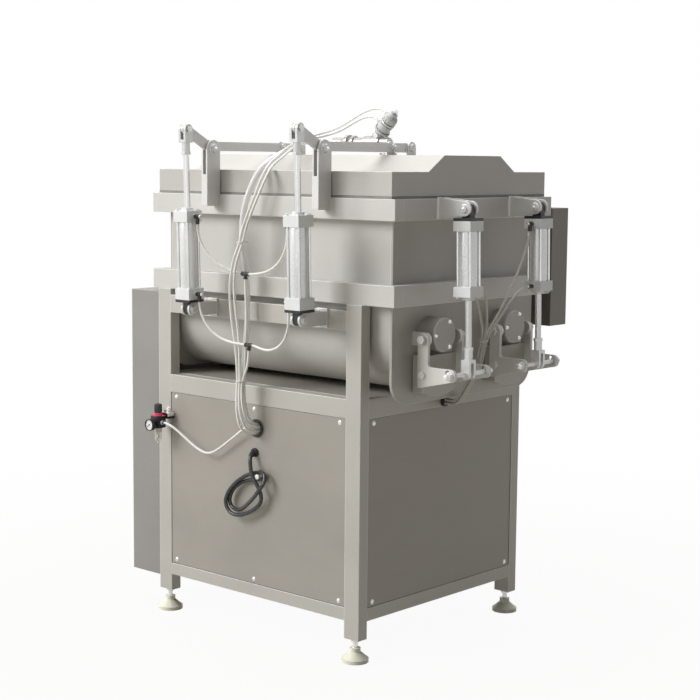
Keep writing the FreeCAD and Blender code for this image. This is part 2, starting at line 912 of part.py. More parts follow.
def stud_lug(x, at, face):
    """A round-topped lug on the roof beside a lever, with its stud and nut."""
    y = PIVOT_Y + at
    thick = 8
    x0 = x + (s.lever_thick / 2) * face if face > 0 else x - s.lever_thick / 2 - thick
    foot = bar((x0, x0 + thick), (y - 19, y + 19), (ROOF, STUD_Z))
    top = rod("X", x0, y, STUD_Z, 19, thick)
    stud = rod("X", x - s.lever_thick / 2 - thick - 6, y, STUD_Z, s.stud_radius - 2,
               s.lever_thick + thick * 2 + 12)
    nut = hex_nut("X", x + s.lever_thick / 2 + (thick if face > 0 else 0), y, STUD_Z, s.stud_nut_radius, 6)
    return fuse(foot, top, stud, nut)


def lid_lugs():
    lugs = []
    for x in (s.lift_left, s.lift_right):
        lugs.append(stud_lug(x, s.lever_first_stud, -1))
        lugs.append(stud_lug(x, s.lever_second_stud, 1))
    return lugs


# Brackets on the frame

def lid_bracket(x):
    """Two plates on the top ring's face with a web, carrying the lever's pivot stud."""
    half = s.bracket_half
    inner = s.bracket_gap / 2
    pieces = []
    for side in SIDES:
        x0 = x + inner if side > 0 else x - inner - s.bracket_plate
        span = (x0, x0 + s.bracket_plate)
        low = bar(span, (PIVOT_Y - half, -RING_SIDE), (s.bracket_low, TOP_RING_TOP))
        high = bar(span, (PIVOT_Y - half, PIVOT_Y + half), (TOP_RING_TOP, PIVOT_Z))
        eye = rod("X", x0, PIVOT_Y, PIVOT_Z, half, s.bracket_plate)
        pieces += [low, high, eye]
    web = bar((x - inner, x + inner), (PIVOT_Y - half, PIVOT_Y - half + s.bracket_plate),
              (s.bracket_low, s.bracket_web_top))
    start = x - inner - s.bracket_plate - 12
    stud = rod("X", start, PIVOT_Y, PIVOT_Z, s.stud_radius, (inner + s.bracket_plate + 12) * 2)
    washer = rod("X", x + inner + s.bracket_plate, PIVOT_Y, PIVOT_Z, s.pivot_nut_radius + 2, 2)
    nut = hex_nut("X", x + inner + s.bracket_plate + 2, PIVOT_Y, PIVOT_Z, s.pivot_nut_radius, 7)
    return fuse(web, stud, washer, nut, *pieces)


def lift_brackets():
    places = (s.lift_left, s.lift_right)
    finish(group(*[lid_bracket(x) for x in places], *[cylinder_lug(x) for x in places]), "lift_brackets")


def cylinder_lug(x):
    """A pad on the head rail with two plates that hold the lid cylinder's foot pin."""
    half = s.base_lug_half
    gap = s.eye_thick / 2 + s.side_gap
    pad = bar((x - s.lug_pad_wide / 2, x + s.lug_pad_wide / 2), (-SIDE - s.lug_pad_thick, -SIDE),
              (BASE_Z - s.lug_pad_tall / 2, BASE_Z + s.lug_pad_tall / 2))
    pieces = [pad]
    for side in SIDES:
        x0 = x + gap if side > 0 else x - gap - s.lug_plate
        span = (x0, x0 + s.lug_plate)
        pieces.append(bar(span, (BASE_Y, -SIDE - s.lug_pad_thick), (BASE_Z - half, BASE_Z + half)))
        pieces.append(rod("X", x0, BASE_Y, BASE_Z, half, s.lug_plate))
    pin = rod("X", x - gap - s.lug_plate - 4, BASE_Y, BASE_Z, s.lift_pin_radius,
              (gap + s.lug_plate + 4) * 2)
    washer = rod("X", x + gap + s.lug_plate, BASE_Y, BASE_Z, s.stud_nut_radius + 1.5, 2)
    head = hex_nut("X", x + gap + s.lug_plate + 2, BASE_Y, BASE_Z, s.stud_nut_radius, 5)
    return fuse(pin, washer, head, *pieces)


def discharge_fork(side):
    """Two tapering plates on the top ring that hold a door cylinder's upper pin."""
    y = SHAFT_Y * side
    inner = s.fork_gap / 2
    pieces = []
    for hand in SIDES:
        y0 = y + inner if hand > 0 else y - inner - s.fork_plate
        span = (y0, y0 + s.fork_plate)
        root = s.fork_root_tall / 2
        points = [(RING_END, s.fork_level - root), (FORK_X, s.fork_level - s.fork_half),
                  (FORK_X, s.fork_level + s.fork_half), (RING_END, s.fork_level + root)]
        web = plate("ForkPlate", "XZ_Plane", -span[1], points, s.fork_plate)
        pieces.append(web)
        pieces.append(rod("Y", FORK_X, y0, s.fork_level, s.fork_half, s.fork_plate))
        pieces.append(bar((RING_END, RING_END + 5), (y0 - 5, y0 + s.fork_plate + 5),
                          (s.fork_level - root, s.fork_level + root - 4)))
    pin = rod("Y", FORK_X, y - inner - s.fork_plate - 7, s.fork_level, s.lift_pin_radius,
              (inner + s.fork_plate + 7) * 2)
    outside = y - inner - s.fork_plate
    washer = rod("Y", FORK_X, outside - 2, s.fork_level, s.stud_nut_radius + 1.5, 2)
    head = hex_nut("Y", FORK_X, outside - 7, s.fork_level, s.stud_nut_radius, 5)
    return fuse(pin, washer, head, *pieces)


ARM_HALF_SPAN = s.door_half


def door_lugs():
    """The lugs on the end plate, one inside each door arm, with the pivot bolts."""
    pieces = []
    for side in SIDES:
        for hand in SIDES:
            y = SHAFT_Y * side + ARM_HALF_SPAN * hand
            y0 = y - s.door_lug_plate - s.side_gap if hand > 0 else y + s.side_gap
            span = (y0, y0 + s.door_lug_plate)
            half = s.door_lug_half
            web = bar((TROUGH_END, DOOR_X), span, (s.door_pivot_level - half, s.door_pivot_level + half))
            eye = rod("Y", DOOR_X, y0, s.door_pivot_level, half, s.door_lug_plate)
            length = s.door_lug_plate + s.arm_plate + s.side_gap + 14
            start = y0 if hand > 0 else y0 + s.door_lug_plate - length
            bolt = rod("Y", DOOR_X, start, s.door_pivot_level, s.stud_radius, length)
            head_y = start + length - 7 if hand > 0 else start
            head = hex_nut("Y", DOOR_X, head_y, s.door_pivot_level, s.pivot_nut_radius - 1, 7)
            pieces.append(fuse(web, eye, bolt, head))
    return pieces


def door_supports():
    finish(group(*[discharge_fork(side) for side in SIDES], *door_lugs()), "door_supports")


# Air cylinders, built upright with their pin at the origin

def elbow(z, hand, drop):
    """A fitting that stands out of a cap's side face, with a swivel that turns along the barrel."""
    face = s.cap_side / 2
    out = s.elbow_out
    stub = rod("X", face if hand > 0 else -face - s.elbow_long, 0, z, s.elbow_radius, s.elbow_long)
    if drop == 0:
        return stub
    low = z - s.elbow_drop if drop < 0 else z
    return fuse(stub, rod("Z", (face + out) * hand, 0, low, s.elbow_radius - 0.5, s.elbow_drop))


def barrel(low, body_long, cap_tall):
    """Two square caps, the tube, tie rods with nuts and the rod's boss, hollow for the rod and piston."""
    half = s.cap_side / 2
    top = low + body_long
    square = ((-half, half), (-half, half))
    caps = [
        bar(square[0], square[1], (low, low + cap_tall)),
        bar(square[0], square[1], (top - cap_tall, top)),
    ]
    corners = [(s.tie_rod_at * a, s.tie_rod_at * b) for a in SIDES for b in SIDES]
    tube = rod("Z", 0, 0, low + cap_tall, s.tube_outer, body_long - cap_tall * 2)
    ties = [
        rod("Z", x, y, low + cap_tall, s.tie_rod_radius, body_long - cap_tall * 2) for x, y in corners
    ]
    nuts = [hex_nut("Z", x, y, top, s.tie_nut_radius, s.tie_nut_tall) for x, y in corners]
    boss = rod("Z", 0, 0, top, s.boss_radius, s.boss_tall)
    bore = rod("Z", 0, 0, low + cap_tall / 2, s.tube_inner, body_long - cap_tall)
    mouth = rod("Z", 0, 0, low + cap_tall, s.rod_radius + s.rod_clearance, body_long)
    return cut(fuse(*caps, tube, *ties, *nuts, boss), bore, mouth)


def cylinder_mount(low, eye_half):
    """The black end plate with its eye on the pin."""
    half = s.cap_side / 2
    end = bar((-half, half), (-half, half), (low - s.eye_plate, low))
    web = bar((-s.eye_thick / 2, s.eye_thick / 2), (-eye_half, eye_half), (0, low - s.eye_plate))
    eye = rod("X", -s.eye_thick / 2, 0, 0, eye_half, s.eye_thick)
    hole = rod("X", -s.eye_thick / 2 - 1, 0, 0, s.lift_pin_radius + s.running_gap, s.eye_thick + 2)
    return cut(fuse(end, web, eye), hole)


def piston_rod(low, body_long, cap_tall, reach, piston_from_end):
    """A rod with its piston inside the barrel, reaching to the clevis."""
    top = reach - s.clevis_neck_low
    piston_top = low + body_long - cap_tall / 2 - piston_from_end
    piston = rod("Z", 0, 0, piston_top - s.piston_tall, s.tube_inner - s.piston_clearance, s.piston_tall)
    shaft = rod("Z", 0, 0, piston_top, s.rod_radius, top - piston_top)
    return fuse(piston, shaft)


def clevis(reach, pin_radius, pin_extra):
    """The fork on the rod's end, with its pin and the lock nut under its neck."""
    half = s.clevis_wide / 2
    low = reach - s.clevis_neck_low
    nut = cut(hex_nut("Z", 0, 0, low - s.lock_nut_tall, s.lock_nut_radius, s.lock_nut_tall),
              rod("Z", 0, 0, low - s.lock_nut_tall - 1, s.rod_radius + s.side_gap, s.lock_nut_tall + 1))
    neck = rod("Z", 0, 0, low, s.clevis_neck_radius, s.clevis_neck_low - s.clevis_ear_low)
    block = bar((-half, half), (-half, half), (reach - s.clevis_ear_low, reach))
    crown = rod("X", -half, 0, reach, half, s.clevis_wide)
    slot = bar((-s.clevis_slot / 2, s.clevis_slot / 2), (-half - 1, half + 1),
               (reach - s.clevis_ear_low + 10, reach + half + 1))
    ears = cut(fuse(block, crown, neck, nut), slot)
    if pin_extra is None:
        return ears
    pin = rod("X", -half - pin_extra, 0, reach, pin_radius, s.clevis_wide + pin_extra * 2)
    return fuse(ears, pin)


LIFT_REACH = math.hypot(float(TAIL_Y - BASE_Y), float(TAIL_Z - BASE_Z))
LIFT_TILT = math.degrees(math.atan2(-float(TAIL_Y - BASE_Y), float(TAIL_Z - BASE_Z)))
DOOR_REACH = math.hypot(float(BAR_X - FORK_X), float(s.fork_level - s.door_bar_level))
DOOR_TILT = math.degrees(math.atan2(float(BAR_X - FORK_X), float(s.fork_level - s.door_bar_level)))


def copies_along_x(make):
    """The left cylinder's elbows point right and the right one's point left."""
    pieces = []
    for x, hand in ((s.lift_left, 1), (s.lift_right, -1)):
        piece = make(hand)
        piece.Placement = FreeCAD.Placement(FreeCAD.Vector(float(x), 0, 0), FreeCAD.Rotation())
        pieces.append(piece)
    return group(*pieces)


def lid_cylinders():
    turn = FreeCAD.Rotation(FreeCAD.Vector(1, 0, 0), LIFT_TILT)
    at = (0, BASE_Y, BASE_Z)
    low = s.lift_cap_low
    tall = s.lift_cap_tall
    high = low + s.lift_body_long

    def mount(hand):
        elbows = [elbow(z, hand, -1) for z in (low + tall / 2, high - tall / 2)]
        return group(cylinder_mount(low, s.base_lug_half - 4), *elbows)

    finish(copies_along_x(lambda hand: barrel(low, s.lift_body_long, tall)), "lid_cylinder_barrels", turn, at)
    finish(copies_along_x(mount), "lid_cylinder_mounts", turn, at)
    finish(copies_along_x(lambda hand: piston_rod(low, s.lift_body_long, tall, LIFT_REACH, 2)),
           "lid_cylinder_rods", turn, at)
    finish(copies_along_x(lambda hand: clevis(LIFT_REACH, s.lift_pin_radius, 4)),
           "lid_cylinder_clevises", turn, at)


def door_cylinder(side, letter):
    """A door cylinder hangs from its fork, so it is built upright and turned over."""
    spin = FreeCAD.Rotation(FreeCAD.Vector(0, 0, 1), 90)
    down = FreeCAD.Rotation(FreeCAD.Vector(0, 1, 0), 180 - DOOR_TILT)
    turn = down.multiply(spin)
    at = (FORK_X, SHAFT_Y * side, s.fork_level)
    low = s.door_cap_low
    tall = s.door_cap_tall
    finish(group(barrel(low, s.door_body_long, tall)), f"door_cylinder_{letter}_barrel", turn, at)
    elbows = [elbow(low + tall / 2, -side, 1), elbow(low + s.door_body_long - tall / 2, -side, 0)]
    finish(group(cylinder_mount(low, s.fork_half - 7), *elbows), f"door_cylinder_{letter}_mount", turn, at)
    rods = piston_rod(low, s.door_body_long, tall, DOOR_REACH, 2)
    finish(group(rods), f"door_cylinder_{letter}_rod", turn, at)
    ears = clevis(DOOR_REACH, s.bar_radius, None)
    span = ARM_HALF_SPAN + s.arm_plate + s.bar_end
    cross = rod("X", -span, 0, DOOR_REACH, s.bar_radius, span * 2)
    finish(fuse(ears, cross, *bar_nuts()), f"door_cylinder_{letter}_clevis", turn, at)


def bar_nuts():
    """The washer and nut outside each arm on the cross bar."""
    outside = ARM_HALF_SPAN + s.arm_plate + s.side_gap
    washer = s.bar_washer_thick
    nut = s.bar_nut_tall
    return [
        rod("X", outside, 0, DOOR_REACH, s.nut_washer_radius, washer),
        rod("X", -outside - washer, 0, DOOR_REACH, s.nut_washer_radius, washer),
        hex_nut("X", outside + washer, 0, DOOR_REACH, s.stud_nut_radius, nut),
        hex_nut("X", -outside - washer - nut, 0, DOOR_REACH, s.stud_nut_radius, nut),
    ]


# Discharge doors

def door_leaf(side, letter):
    """The D-shaped door and the rubber seal behind it."""
    y = SHAFT_Y * side
    face = TROUGH_END + s.door_seal

    def slab(grow, x0, thick):
        disc = rod("X", x0, y, s.shaft_level, s.door_low_radius + grow, thick)
        window = bar((x0 - 1, x0 + thick + 1), (y - s.door_half - grow, y + s.door_half + grow),
                     (s.end_plate_low - 20, s.door_top + grow))
        return common(disc, window)

    leaf = rounded(slab(0, face, s.door_thick), 2.5, lambda e: outer_edge(e, face + s.door_thick))
    finish(group(leaf), f"door_{letter}_leaf")
    seal = cut(slab(-3, TROUGH_END + 0.3, s.door_seal - 0.3), slab(-13, TROUGH_END, s.door_seal + 1))
    finish(group(seal), f"door_{letter}_seal")


def outer_edge(edge, x):
    return all(abs(v.Point.x - float(x)) < 0.01 for v in edge.Vertexes)


def door_arms(side, letter):
    """Two L-shaped plates that join the pivot, the door and the cross bar."""
    pieces = []
    for hand in SIDES:
        y = SHAFT_Y * side + ARM_HALF_SPAN * hand
        y0 = y if hand > 0 else y - s.arm_plate
        pieces.append(door_arm(y0))
        bolt_y = y0 if hand > 0 else y0 - 7
        pieces.append(hex_nut("Y", DOOR_X, bolt_y, s.door_bar_level - 6, s.stud_nut_radius, s.arm_plate + 7))
    finish(group(*pieces_fused(pieces)), f"door_{letter}_arms")


def pieces_fused(pieces):
    """Join each plate with the bolt that follows it."""
    return [fuse(pieces[i], pieces[i + 1]) for i in range(0, len(pieces), 2)]


def door_arm(y0):
    strip = s.arm_strip / 2
    top = s.door_pivot_level
    level = s.door_bar_level
    nose = s.arm_nose
    tip = level - s.arm_tip_drop
    points = [
        (DOOR_X - strip, tip), (DOOR_X - strip + 12, tip), (BAR_X, level - nose),
        (BAR_X, level + nose), (DOOR_X + strip, level + nose), (DOOR_X + strip, top), (DOOR_X - strip, top),
    ]
    body = plate("DoorArm", "XZ_Plane", -(as_size(y0) + s.arm_plate), points, s.arm_plate)
    corner_round(body, s.arm_fillet, [(DOOR_X + strip, level + nose)], "XZ_Plane")
    eye = rod("Y", DOOR_X, y0, top, strip, s.arm_plate)
    nose_end = rod("Y", BAR_X, y0, level, nose, s.arm_plate)
    hole = rod("Y", DOOR_X, y0 - 1, top, s.stud_radius + s.running_gap, s.arm_plate + 2)
    return cut(fuse(body, eye, nose_end), hole, *arm_slot(y0))


def arm_slot(y0):
    """The slot for the cross bar, along the line to the pivot."""
    dx = float(DOOR_X - BAR_X)
    dz = float(s.door_pivot_level - s.door_bar_level)
    far = math.hypot(dx, dz)
    travel = float(s.arm_slot_long)
    radius = s.bar_radius + s.arm_slot_spare
    middle = doc.addObject("Part::Box", "SlotMiddle")
    middle.Length = travel
    middle.Width = float(s.arm_plate) + 2
    middle.Height = float(radius) * 2
    turn = FreeCAD.Rotation(FreeCAD.Vector(0, 1, 0), -math.degrees(math.atan2(dz, dx)))
    low = turn.multVec(FreeCAD.Vector(0, 0, -float(radius)))
    middle.Placement = FreeCAD.Placement(
        FreeCAD.Vector(float(BAR_X) + low.x, float(y0) - 1, float(s.door_bar_level) + low.z), turn)
    ends = [rod("Y", BAR_X, y0 - 1, s.door_bar_level, radius, s.arm_plate + 2)]
    ends.append(rod("Y", float(BAR_X) + dx / far * travel, y0 - 1,
                    float(s.door_bar_level) + dz / far * travel, radius, s.arm_plate + 2))
    return [middle, *ends]


# Cabinets

def drive_cabinet():
    outer = bar((REAR - s.cabinet_deep, REAR), (-SIDE, SIDE), (s.cabinet_low, s.cabinet_top))
    wall = s.cabinet_sheet
    hollow = bar((REAR - s.cabinet_deep + wall, REAR + 1), (-SIDE + wall, SIDE - wall),
                 (s.cabinet_low + wall, s.cabinet_top - wall))
    finish(cut(outer, hollow), "drive_cabinet")


def control_box():
    x1 = RING_END - s.box_end_in
    x0 = x1 - s.box_long
    face = RING_SIDE + s.box_standoff
    box = bar((x0, x1), (face, face + s.box_deep), (s.box_low, s.box_top))
    shell = rounded(box, 2, lambda e: abs(e.Vertexes[0].Point.y - e.Vertexes[-1].Point.y) > 50)
    rail_span = (x0 + s.box_rail_in, x1 - s.box_rail_in)
    low = s.mid_ring_low + (s.ring_tall - s.box_rail_tall) / 2
    rails = [
        bar(rail_span, (RING_SIDE, face), (low, low + s.box_rail_tall)),
        bar(rail_span, (RING_SIDE, face), (s.top_ring_low, s.box_top - 6)),
    ]
    finish(group(shell, *rails), "control_box")


# Regulator

REG_X = REAR + s.regulator_in
REG_Y = -(SIDE + s.regulator_out)


def regulator():
    half = s.regulator_side / 2
    top = s.ring_low
    body = bar((REG_X - half, REG_X + half), (REG_Y - half, REG_Y + half), (s.regulator_low, top))
    arm = bar((REG_X - 9, REG_X + 30), (REG_Y + half, -SIDE), (top - 10, top + 8))
    neck = rod("Y", REG_X, REG_Y - half - 8, s.gauge_level, 8, 8)
    port = rod("X", REG_X + half, REG_Y, s.gauge_level + 6, 7, 12)
    finish(fuse(body, arm, neck, port), "regulator_body")
    ring = rod("Z", REG_X, REG_Y, top, s.ring_radius, s.ring_height - 0.3)
    finish(group(ring), "regulator_ring")
    knob = fuse(
        rod("Z", REG_X, REG_Y, s.knob_low, s.knob_radius, s.knob_tall - 4),
        cone("Z", REG_X, REG_Y, s.knob_low + s.knob_tall - 4, s.knob_radius, s.knob_radius - 3, 4),
    )
    finish(knob, "regulator_knob")
    gauge = fuse(
        rod("Y", REG_X, REG_Y - half - 8 - s.gauge_deep, s.gauge_level, s.gauge_radius, s.gauge_deep - 3),
        cone("Y", REG_X, REG_Y - half - 11, s.gauge_level, s.gauge_radius, s.gauge_radius - 5, 3),
    )
    finish(gauge, "pressure_gauge")
    bowl_top = s.regulator_low - s.collar_tall
    bowl = fuse(
        rod("Z", REG_X, REG_Y, bowl_top, s.collar_radius, s.collar_tall),
        rod("Z", REG_X, REG_Y, s.bowl_low + 8, s.bowl_radius, bowl_top - s.bowl_low - 8),
        cone("Z", REG_X, REG_Y, s.bowl_low, s.bowl_radius - 7, s.bowl_radius, 8),
        rod("Z", REG_X, REG_Y, s.bowl_low - 8, 5, 8),
    )
    finish(bowl, "filter_bowl")


# Vacuum valve on the lid

def vacuum_valve():
    level = s.valve_level
    run = fuse(
        rod("X", s.pipe_left, 0, level, s.pipe_radius, s.pipe_down_x - s.pipe_left),
        rod("X", s.pipe_left + s.union_along, 0, level, s.pipe_radius + s.union_out, s.union_long),
        rod("X", s.pipe_left + s.seat_ring_along, 0, level, s.pipe_radius + s.seat_ring_out,
            s.seat_ring_long),
        rod("X", s.valve_x - s.valve_body_long / 2, 0, level, s.pipe_radius + s.valve_body_out,
            s.valve_body_long),
    )
    corner = doc.addObject("Part::Sphere", "Corner")
    bind(corner, "Radius", s.pipe_radius)
    put(corner, s.pipe_down_x, 0, level)
    drop = rod("Z", s.pipe_down_x, 0, ROOF, s.pipe_radius, level - ROOF)
    flange = rod("Z", s.pipe_down_x, 0, ROOF, s.pipe_radius + s.valve_flange_out, s.valve_flange_tall)
    bonnet = rod("Z", 0, 0, 0, s.pipe_radius + s.bonnet_out, s.actuator_low)
    turn = FreeCAD.Rotation(FreeCAD.Vector(0, 1, 0), float(s.valve_tilt))
    bonnet.Placement = FreeCAD.Placement(FreeCAD.Vector(float(s.valve_x), 0, float(level)), turn)
    finish(fuse(run, corner, drop, flange, bonnet), "vacuum_pipe")

    low = s.actuator_low
    long = s.actuator_long
    radius = s.actuator_radius
    rim = radius + s.actuator_rim_out
    deep = s.actuator_groove_deep
    groove = low + s.actuator_groove
    bore = s.indicator_radius + s.indicator_gap
    floor = low + long - s.indicator_deep
    head = turned("Actuator", [
        (0, low), (rim, low), (rim, low + s.actuator_rim_tall), (radius, low + s.actuator_rim_tall),
        (radius, groove), (radius - deep, groove + deep), (radius - deep, groove + deep * 2),
        (radius, groove + deep * 3), (radius, low + long - s.actuator_crown),
        (radius - s.actuator_crown_in, low + long - s.actuator_crown_step),
        (s.actuator_boss_radius, low + long - s.actuator_boss_tall), (s.actuator_boss_radius, low + long),
        (bore, low + long), (bore, floor), (0, floor),
    ])
    reach = s.valve_port_reach
    ports = [
        rod("X", -reach, -s.valve_port_aside, s.valve_port_low, s.valve_port_radius, 10),
        rod("X", -reach, s.valve_port_aside, s.valve_port_high, s.valve_port_radius, 10),
    ]
    finish(fuse(head, *ports), "valve_actuator", turn, (s.valve_x, 0, level))
    tip = fuse(
        rod("Z", 0, 0, floor + 0.5, s.indicator_radius, s.indicator_deep + 5),
        rod("Z", 0, 0, floor + s.indicator_deep + 5.5, s.indicator_radius * 0.75, 9),
    )
    finish(tip, "valve_indicator", turn, (s.valve_x, 0, level))


# Grommets and the cable hook

def grommets():
    face = -(SIDE - s.panel_recess)

    def ring(x, z, radius, tall):
        """A rubber ring whose neck fills the hole in the panel."""
        neck = radius - s.grommet_lip
        outer = fuse(rod("Y", x, face - tall, z, radius, tall), rod("Y", x, face, z, neck, s.panel_sheet + 3))
        return cut(outer, rod("Y", x, face - tall - 1, z, neck - s.grommet_wall, tall + s.panel_sheet + 6))

    big = ring(s.big_grommet_x, s.big_grommet_level, s.big_grommet_radius, 5)
    small = ring(s.small_grommet_x, s.small_grommet_level, s.small_grommet_radius, 8)
    end = rod("X", FRONT, s.end_grommet_y, s.end_grommet_level, s.end_grommet_radius, 10)
    finish(group(big, small, end), "grommets")


def cable_hook():
    face = SIDE - s.panel_recess
    peg = rod("Y", s.hook_x, -face - 34, s.hook_level, 4, 34)
    head = rod("Y", s.hook_x, -face - 38, s.hook_level, 8, 4)
    return fuse(peg, head)


# Cords

def smooth_path(points):
    """Straight runs joined by tangent arcs, each as large as its two runs allow."""
    pts = [FreeCAD.Vector(*[float(c) for c in p]) for p in points]
    edges = []
    radii = []
    last = pts[0]
    for i in range(1, len(pts) - 1):
        before = pts[i - 1] - pts[i]
        after = pts[i + 1] - pts[i]
        short = min(before.Length, after.Length)
        half_turn = (math.pi - before.getAngle(after)) / 2
        tangent = 0.45 * short
        radius = tangent / math.tan(half_turn)
        radii.append(radius)
        before.normalize()
        after.normalize()
        start = pts[i] + before * tangent
        stop = pts[i] + after * tangent
        bisector = before + after
        bisector.normalize()
        centre_far = radius / math.cos(half_turn)
        middle = pts[i] + bisector * (centre_far - radius)
        edges.append(Part.LineSegment(last, start).toShape())
        edges.append(Part.Arc(start, middle, stop).toShape())
        last = stop
    edges.append(Part.LineSegment(last, pts[-1]).toShape())
    return Part.Wire(edges), radii


def tube_solid(points, radius):
    wire, radii = smooth_path(points)
    first = wire.OrderedEdges[0]
    direction = first.tangentAt(first.FirstParameter)
    start = first.valueAt(first.FirstParameter)
    section = Part.Wire(Part.makeCircle(float(radius), start, direction))
    solid = wire.makePipeShell([section], True, False)
    expected = math.pi * float(radius) ** 2 * wire.Length
    return solid, radii, expected, wire.Length


def cord(label, routes):
    """One or more tubes of a free cord in one sub-part."""
    solids = []
    for radius, points in routes:
        solid, radii, expected, length = tube_solid(points, radius)
        print(f"{label}: length {length:.0f}, radii {min(radii):.0f} to {max(radii):.0f}, in diameters "
              f"{min(radii) / float(radius) / 2:.1f}, volume ratio {solid.Volume / expected:.4f}")
        solids.append(solid)
    obj = doc.addObject("Part::Feature", label)
    obj.Shape = solids[0] if len(solids) == 1 else Part.makeCompound(solids)
    finish(obj, label)
    CORDS.append(label)


# Tube and hose sizes are plain, and their points are chosen one by one along the routes that they take.

TUBE = s.air_tube_radius
HOSE = s.hose_radius
TEE_ONE = (-26, -466, 1197)
TEE_TWO = (16, -492, 974)
TIES = ((-44, -463, 1297, 17), (-41, -468, 851, 20.5), (608.9, -43.2, 1000, 12.8))


def tube_fittings():
    pieces = []
    for x, y, z in (TEE_ONE, TEE_TWO):
        pieces.append(fuse(rod("X", x - 16, y, z, TUBE + 2, 32), rod("Z", x, y, z - 17, TUBE + 2, 17)))
    for x, y, z, radius in TIES:
        pieces.append(cut(rod("Z", x, y, z - 2.5, radius + 1.5, 5), rod("Z", x, y, z - 4, radius, 8)))
    label = "tube_fittings"
    finish(group(*pieces), label)
    CORDS.append(label)


def power_lead():
    cord("power_cable", [(s.lead_radius, [
        (-36, -403, 611), (-35.8, -423, 610.8), (-34, -437, 598), (-32, -437, 578), (-31, -432, 558.5),
    ])])
    y = -428
    loop = [(27, 500), (34, 533), (24, 562), (-10, 562), (-60, 546), (-105, 515), (-132, 470), (-126, 425),
            (-90, 405), (-42, 414), (2, 440), (22, 471)]
    cord("power_coil", [(s.lead_radius * 2, [(x, y, z) for x, z in loop])])


def hose_bundle():
    cord("vacuum_hose", [(HOSE, [
        (-75.8, 0, 1621), (-100, -1.5, 1621.3), (-124, -22, 1622), (-132, -62, 1622), (-122, -112, 1618),
        (-96, -172, 1608), (-66, -232, 1594), (-38, -296, 1578), (-16, -356, 1562), (-8, -404, 1541),
        (-14, -436, 1502), (-32, -452, 1445), (-44, -459, 1390), (-47, -461, 1340), (-47, -460, 1297),
        (-46, -451, 1240), (-45, -442, 1180), (-42, -441, 1110), (-40, -444, 1040), (-41, -450, 970),
        (-43, -457, 905), (-45, -464, 851), (-46, -468, 803), (-45, -467, 764), (-42, -459, 728),
        (-38, -443, 704), (-33.5, -422, 692), (-31.5, -402, 689),
    ])])
    cord("valve_tube_a", [(TUBE, [
        (127.7, -4, 1688.3), (116, -4.5, 1700), (92, -8, 1706), (56, -14, 1697), (18, -22, 1677),
        (-20, -34, 1656),
        (-56, -58, 1642), (-72, -96, 1633), (-66, -140, 1623), (-48, -196, 1610), (-22, -270, 1590),
        (8, -345, 1562), (27, -404, 1538), (33, -440, 1495), (14, -452, 1441), (-8, -462, 1385),
        (-24, -469, 1337), (-35, -469, 1297), (-46, -480, 1254), (-55, -485, 1209), (-60, -485, 1165),
        (-59, -483, 1110), (-51, -480, 1045), (-43, -478, 985), (-40, -479, 918), (-40, -477.3, 851),
        (-37.5, -484.5, 795), (-30, -486, 745), (-21, -476, 708), (-17, -456, 690), (-15.7, -430, 685.5),
        (-15.5, -404, 684.5),
    ])])
    cord("valve_tube_b", [(TUBE, [
        (154.2, 4, 1714.9), (142, 3.5, 1727), (115, 2, 1732), (76, -6, 1724), (34, -16, 1702),
        (-6, -27, 1678), (-46, -38, 1660),
        (-78, -66, 1647), (-86, -112, 1637), (-78, -160, 1625), (-60, -208, 1614), (-34, -280, 1594),
        (-4, -350, 1567), (15, -407, 1543), (21, -444, 1499), (3, -456, 1443), (-19, -466, 1385),
        (-34, -475, 1337), (-43.5, -474, 1297), (-57, -485, 1254), (-68, -488, 1209), (-75, -488, 1165),
        (-77, -486, 1110), (-72, -483, 1045), (-62, -480, 985), (-53, -479, 918), (-51, -477.3, 851),
        (-49, -484, 795), (-43, -488, 745), (-34, -484, 705), (-27, -464, 682), (-24, -437, 677),
        (-23.5, -410, 676.5),
    ])])
    cord("trunk_tube_a", [(TUBE, [
        (-26, -466, 1179.5), (-25, -465, 1120), (-23, -464, 1056), (-25, -465, 985), (-28, -466, 920),
        (-31, -467, 851), (-27, -468.5, 800), (-25, -463, 754), (-22, -449, 722), (-21.5, -428, 708),
        (-21.5, -403, 704.8),
    ])])
    cord("trunk_tube_b", [(TUBE, [
        (16, -492, 956.6), (14, -491.5, 930), (4, -487.5, 902), (-13, -481.5, 878), (-29.5, -476.5, 851),
        (-31, -478, 820), (-28, -480, 788), (-22, -478, 752), (-17.5, -466, 720), (-15.5, -446, 705),
        (-14.7, -424, 698.5), (-14.5, -402, 696.8),
    ])])
    cord("regulator_tube", [(TUBE, [
        (-427.8, -458.5, 668), (-402, -457, 666), (-359, -447, 640), (-310, -444, 611), (-264, -440, 589),
        (-226, -438, 585), (-189, -436, 602), (-147, -434, 631), (-101, -436, 662), (-66, -440, 686),
        (-49, -427, 698), (-44, -403, 700),
    ])])


def lid_tubes():
    cord("lid_tube_a", [(TUBE, [
        (-182, -528.5, 1351.3), (-181, -528, 1322), (-172, -523, 1291), (-149, -512, 1254),
        (-118, -498, 1224), (-88, -483, 1207), (-62, -468, 1198.5), (-42.7, -466.2, 1197.2),
    ])])
    cord("lid_tube_b", [(TUBE, [
        (220, -528.5, 1351.3), (219, -528, 1319), (206, -522, 1286), (176, -511, 1252), (134, -498, 1226),
        (88, -485, 1210), (44, -474, 1202), (14, -467, 1198.3), (-9.5, -466, 1197),
    ])])
    cord("lid_tube_c", [(TUBE, [
        (-182, -521.5, 1100.3), (-180, -521, 1076), (-166, -517, 1044), (-142, -511, 1012),
        (-108, -503, 989), (-66, -497, 978), (-28, -493, 974.6), (-0.5, -492, 974),
    ])])
    cord("lid_tube_d", [(TUBE, [
        (220, -521.5, 1100.3), (219, -520, 1072), (208, -512, 1038), (186, -505, 1004), (154, -500, 978),
        (114, -497, 965), (78, -494.5, 966), (52, -493, 972), (32.7, -492, 974),
    ])])


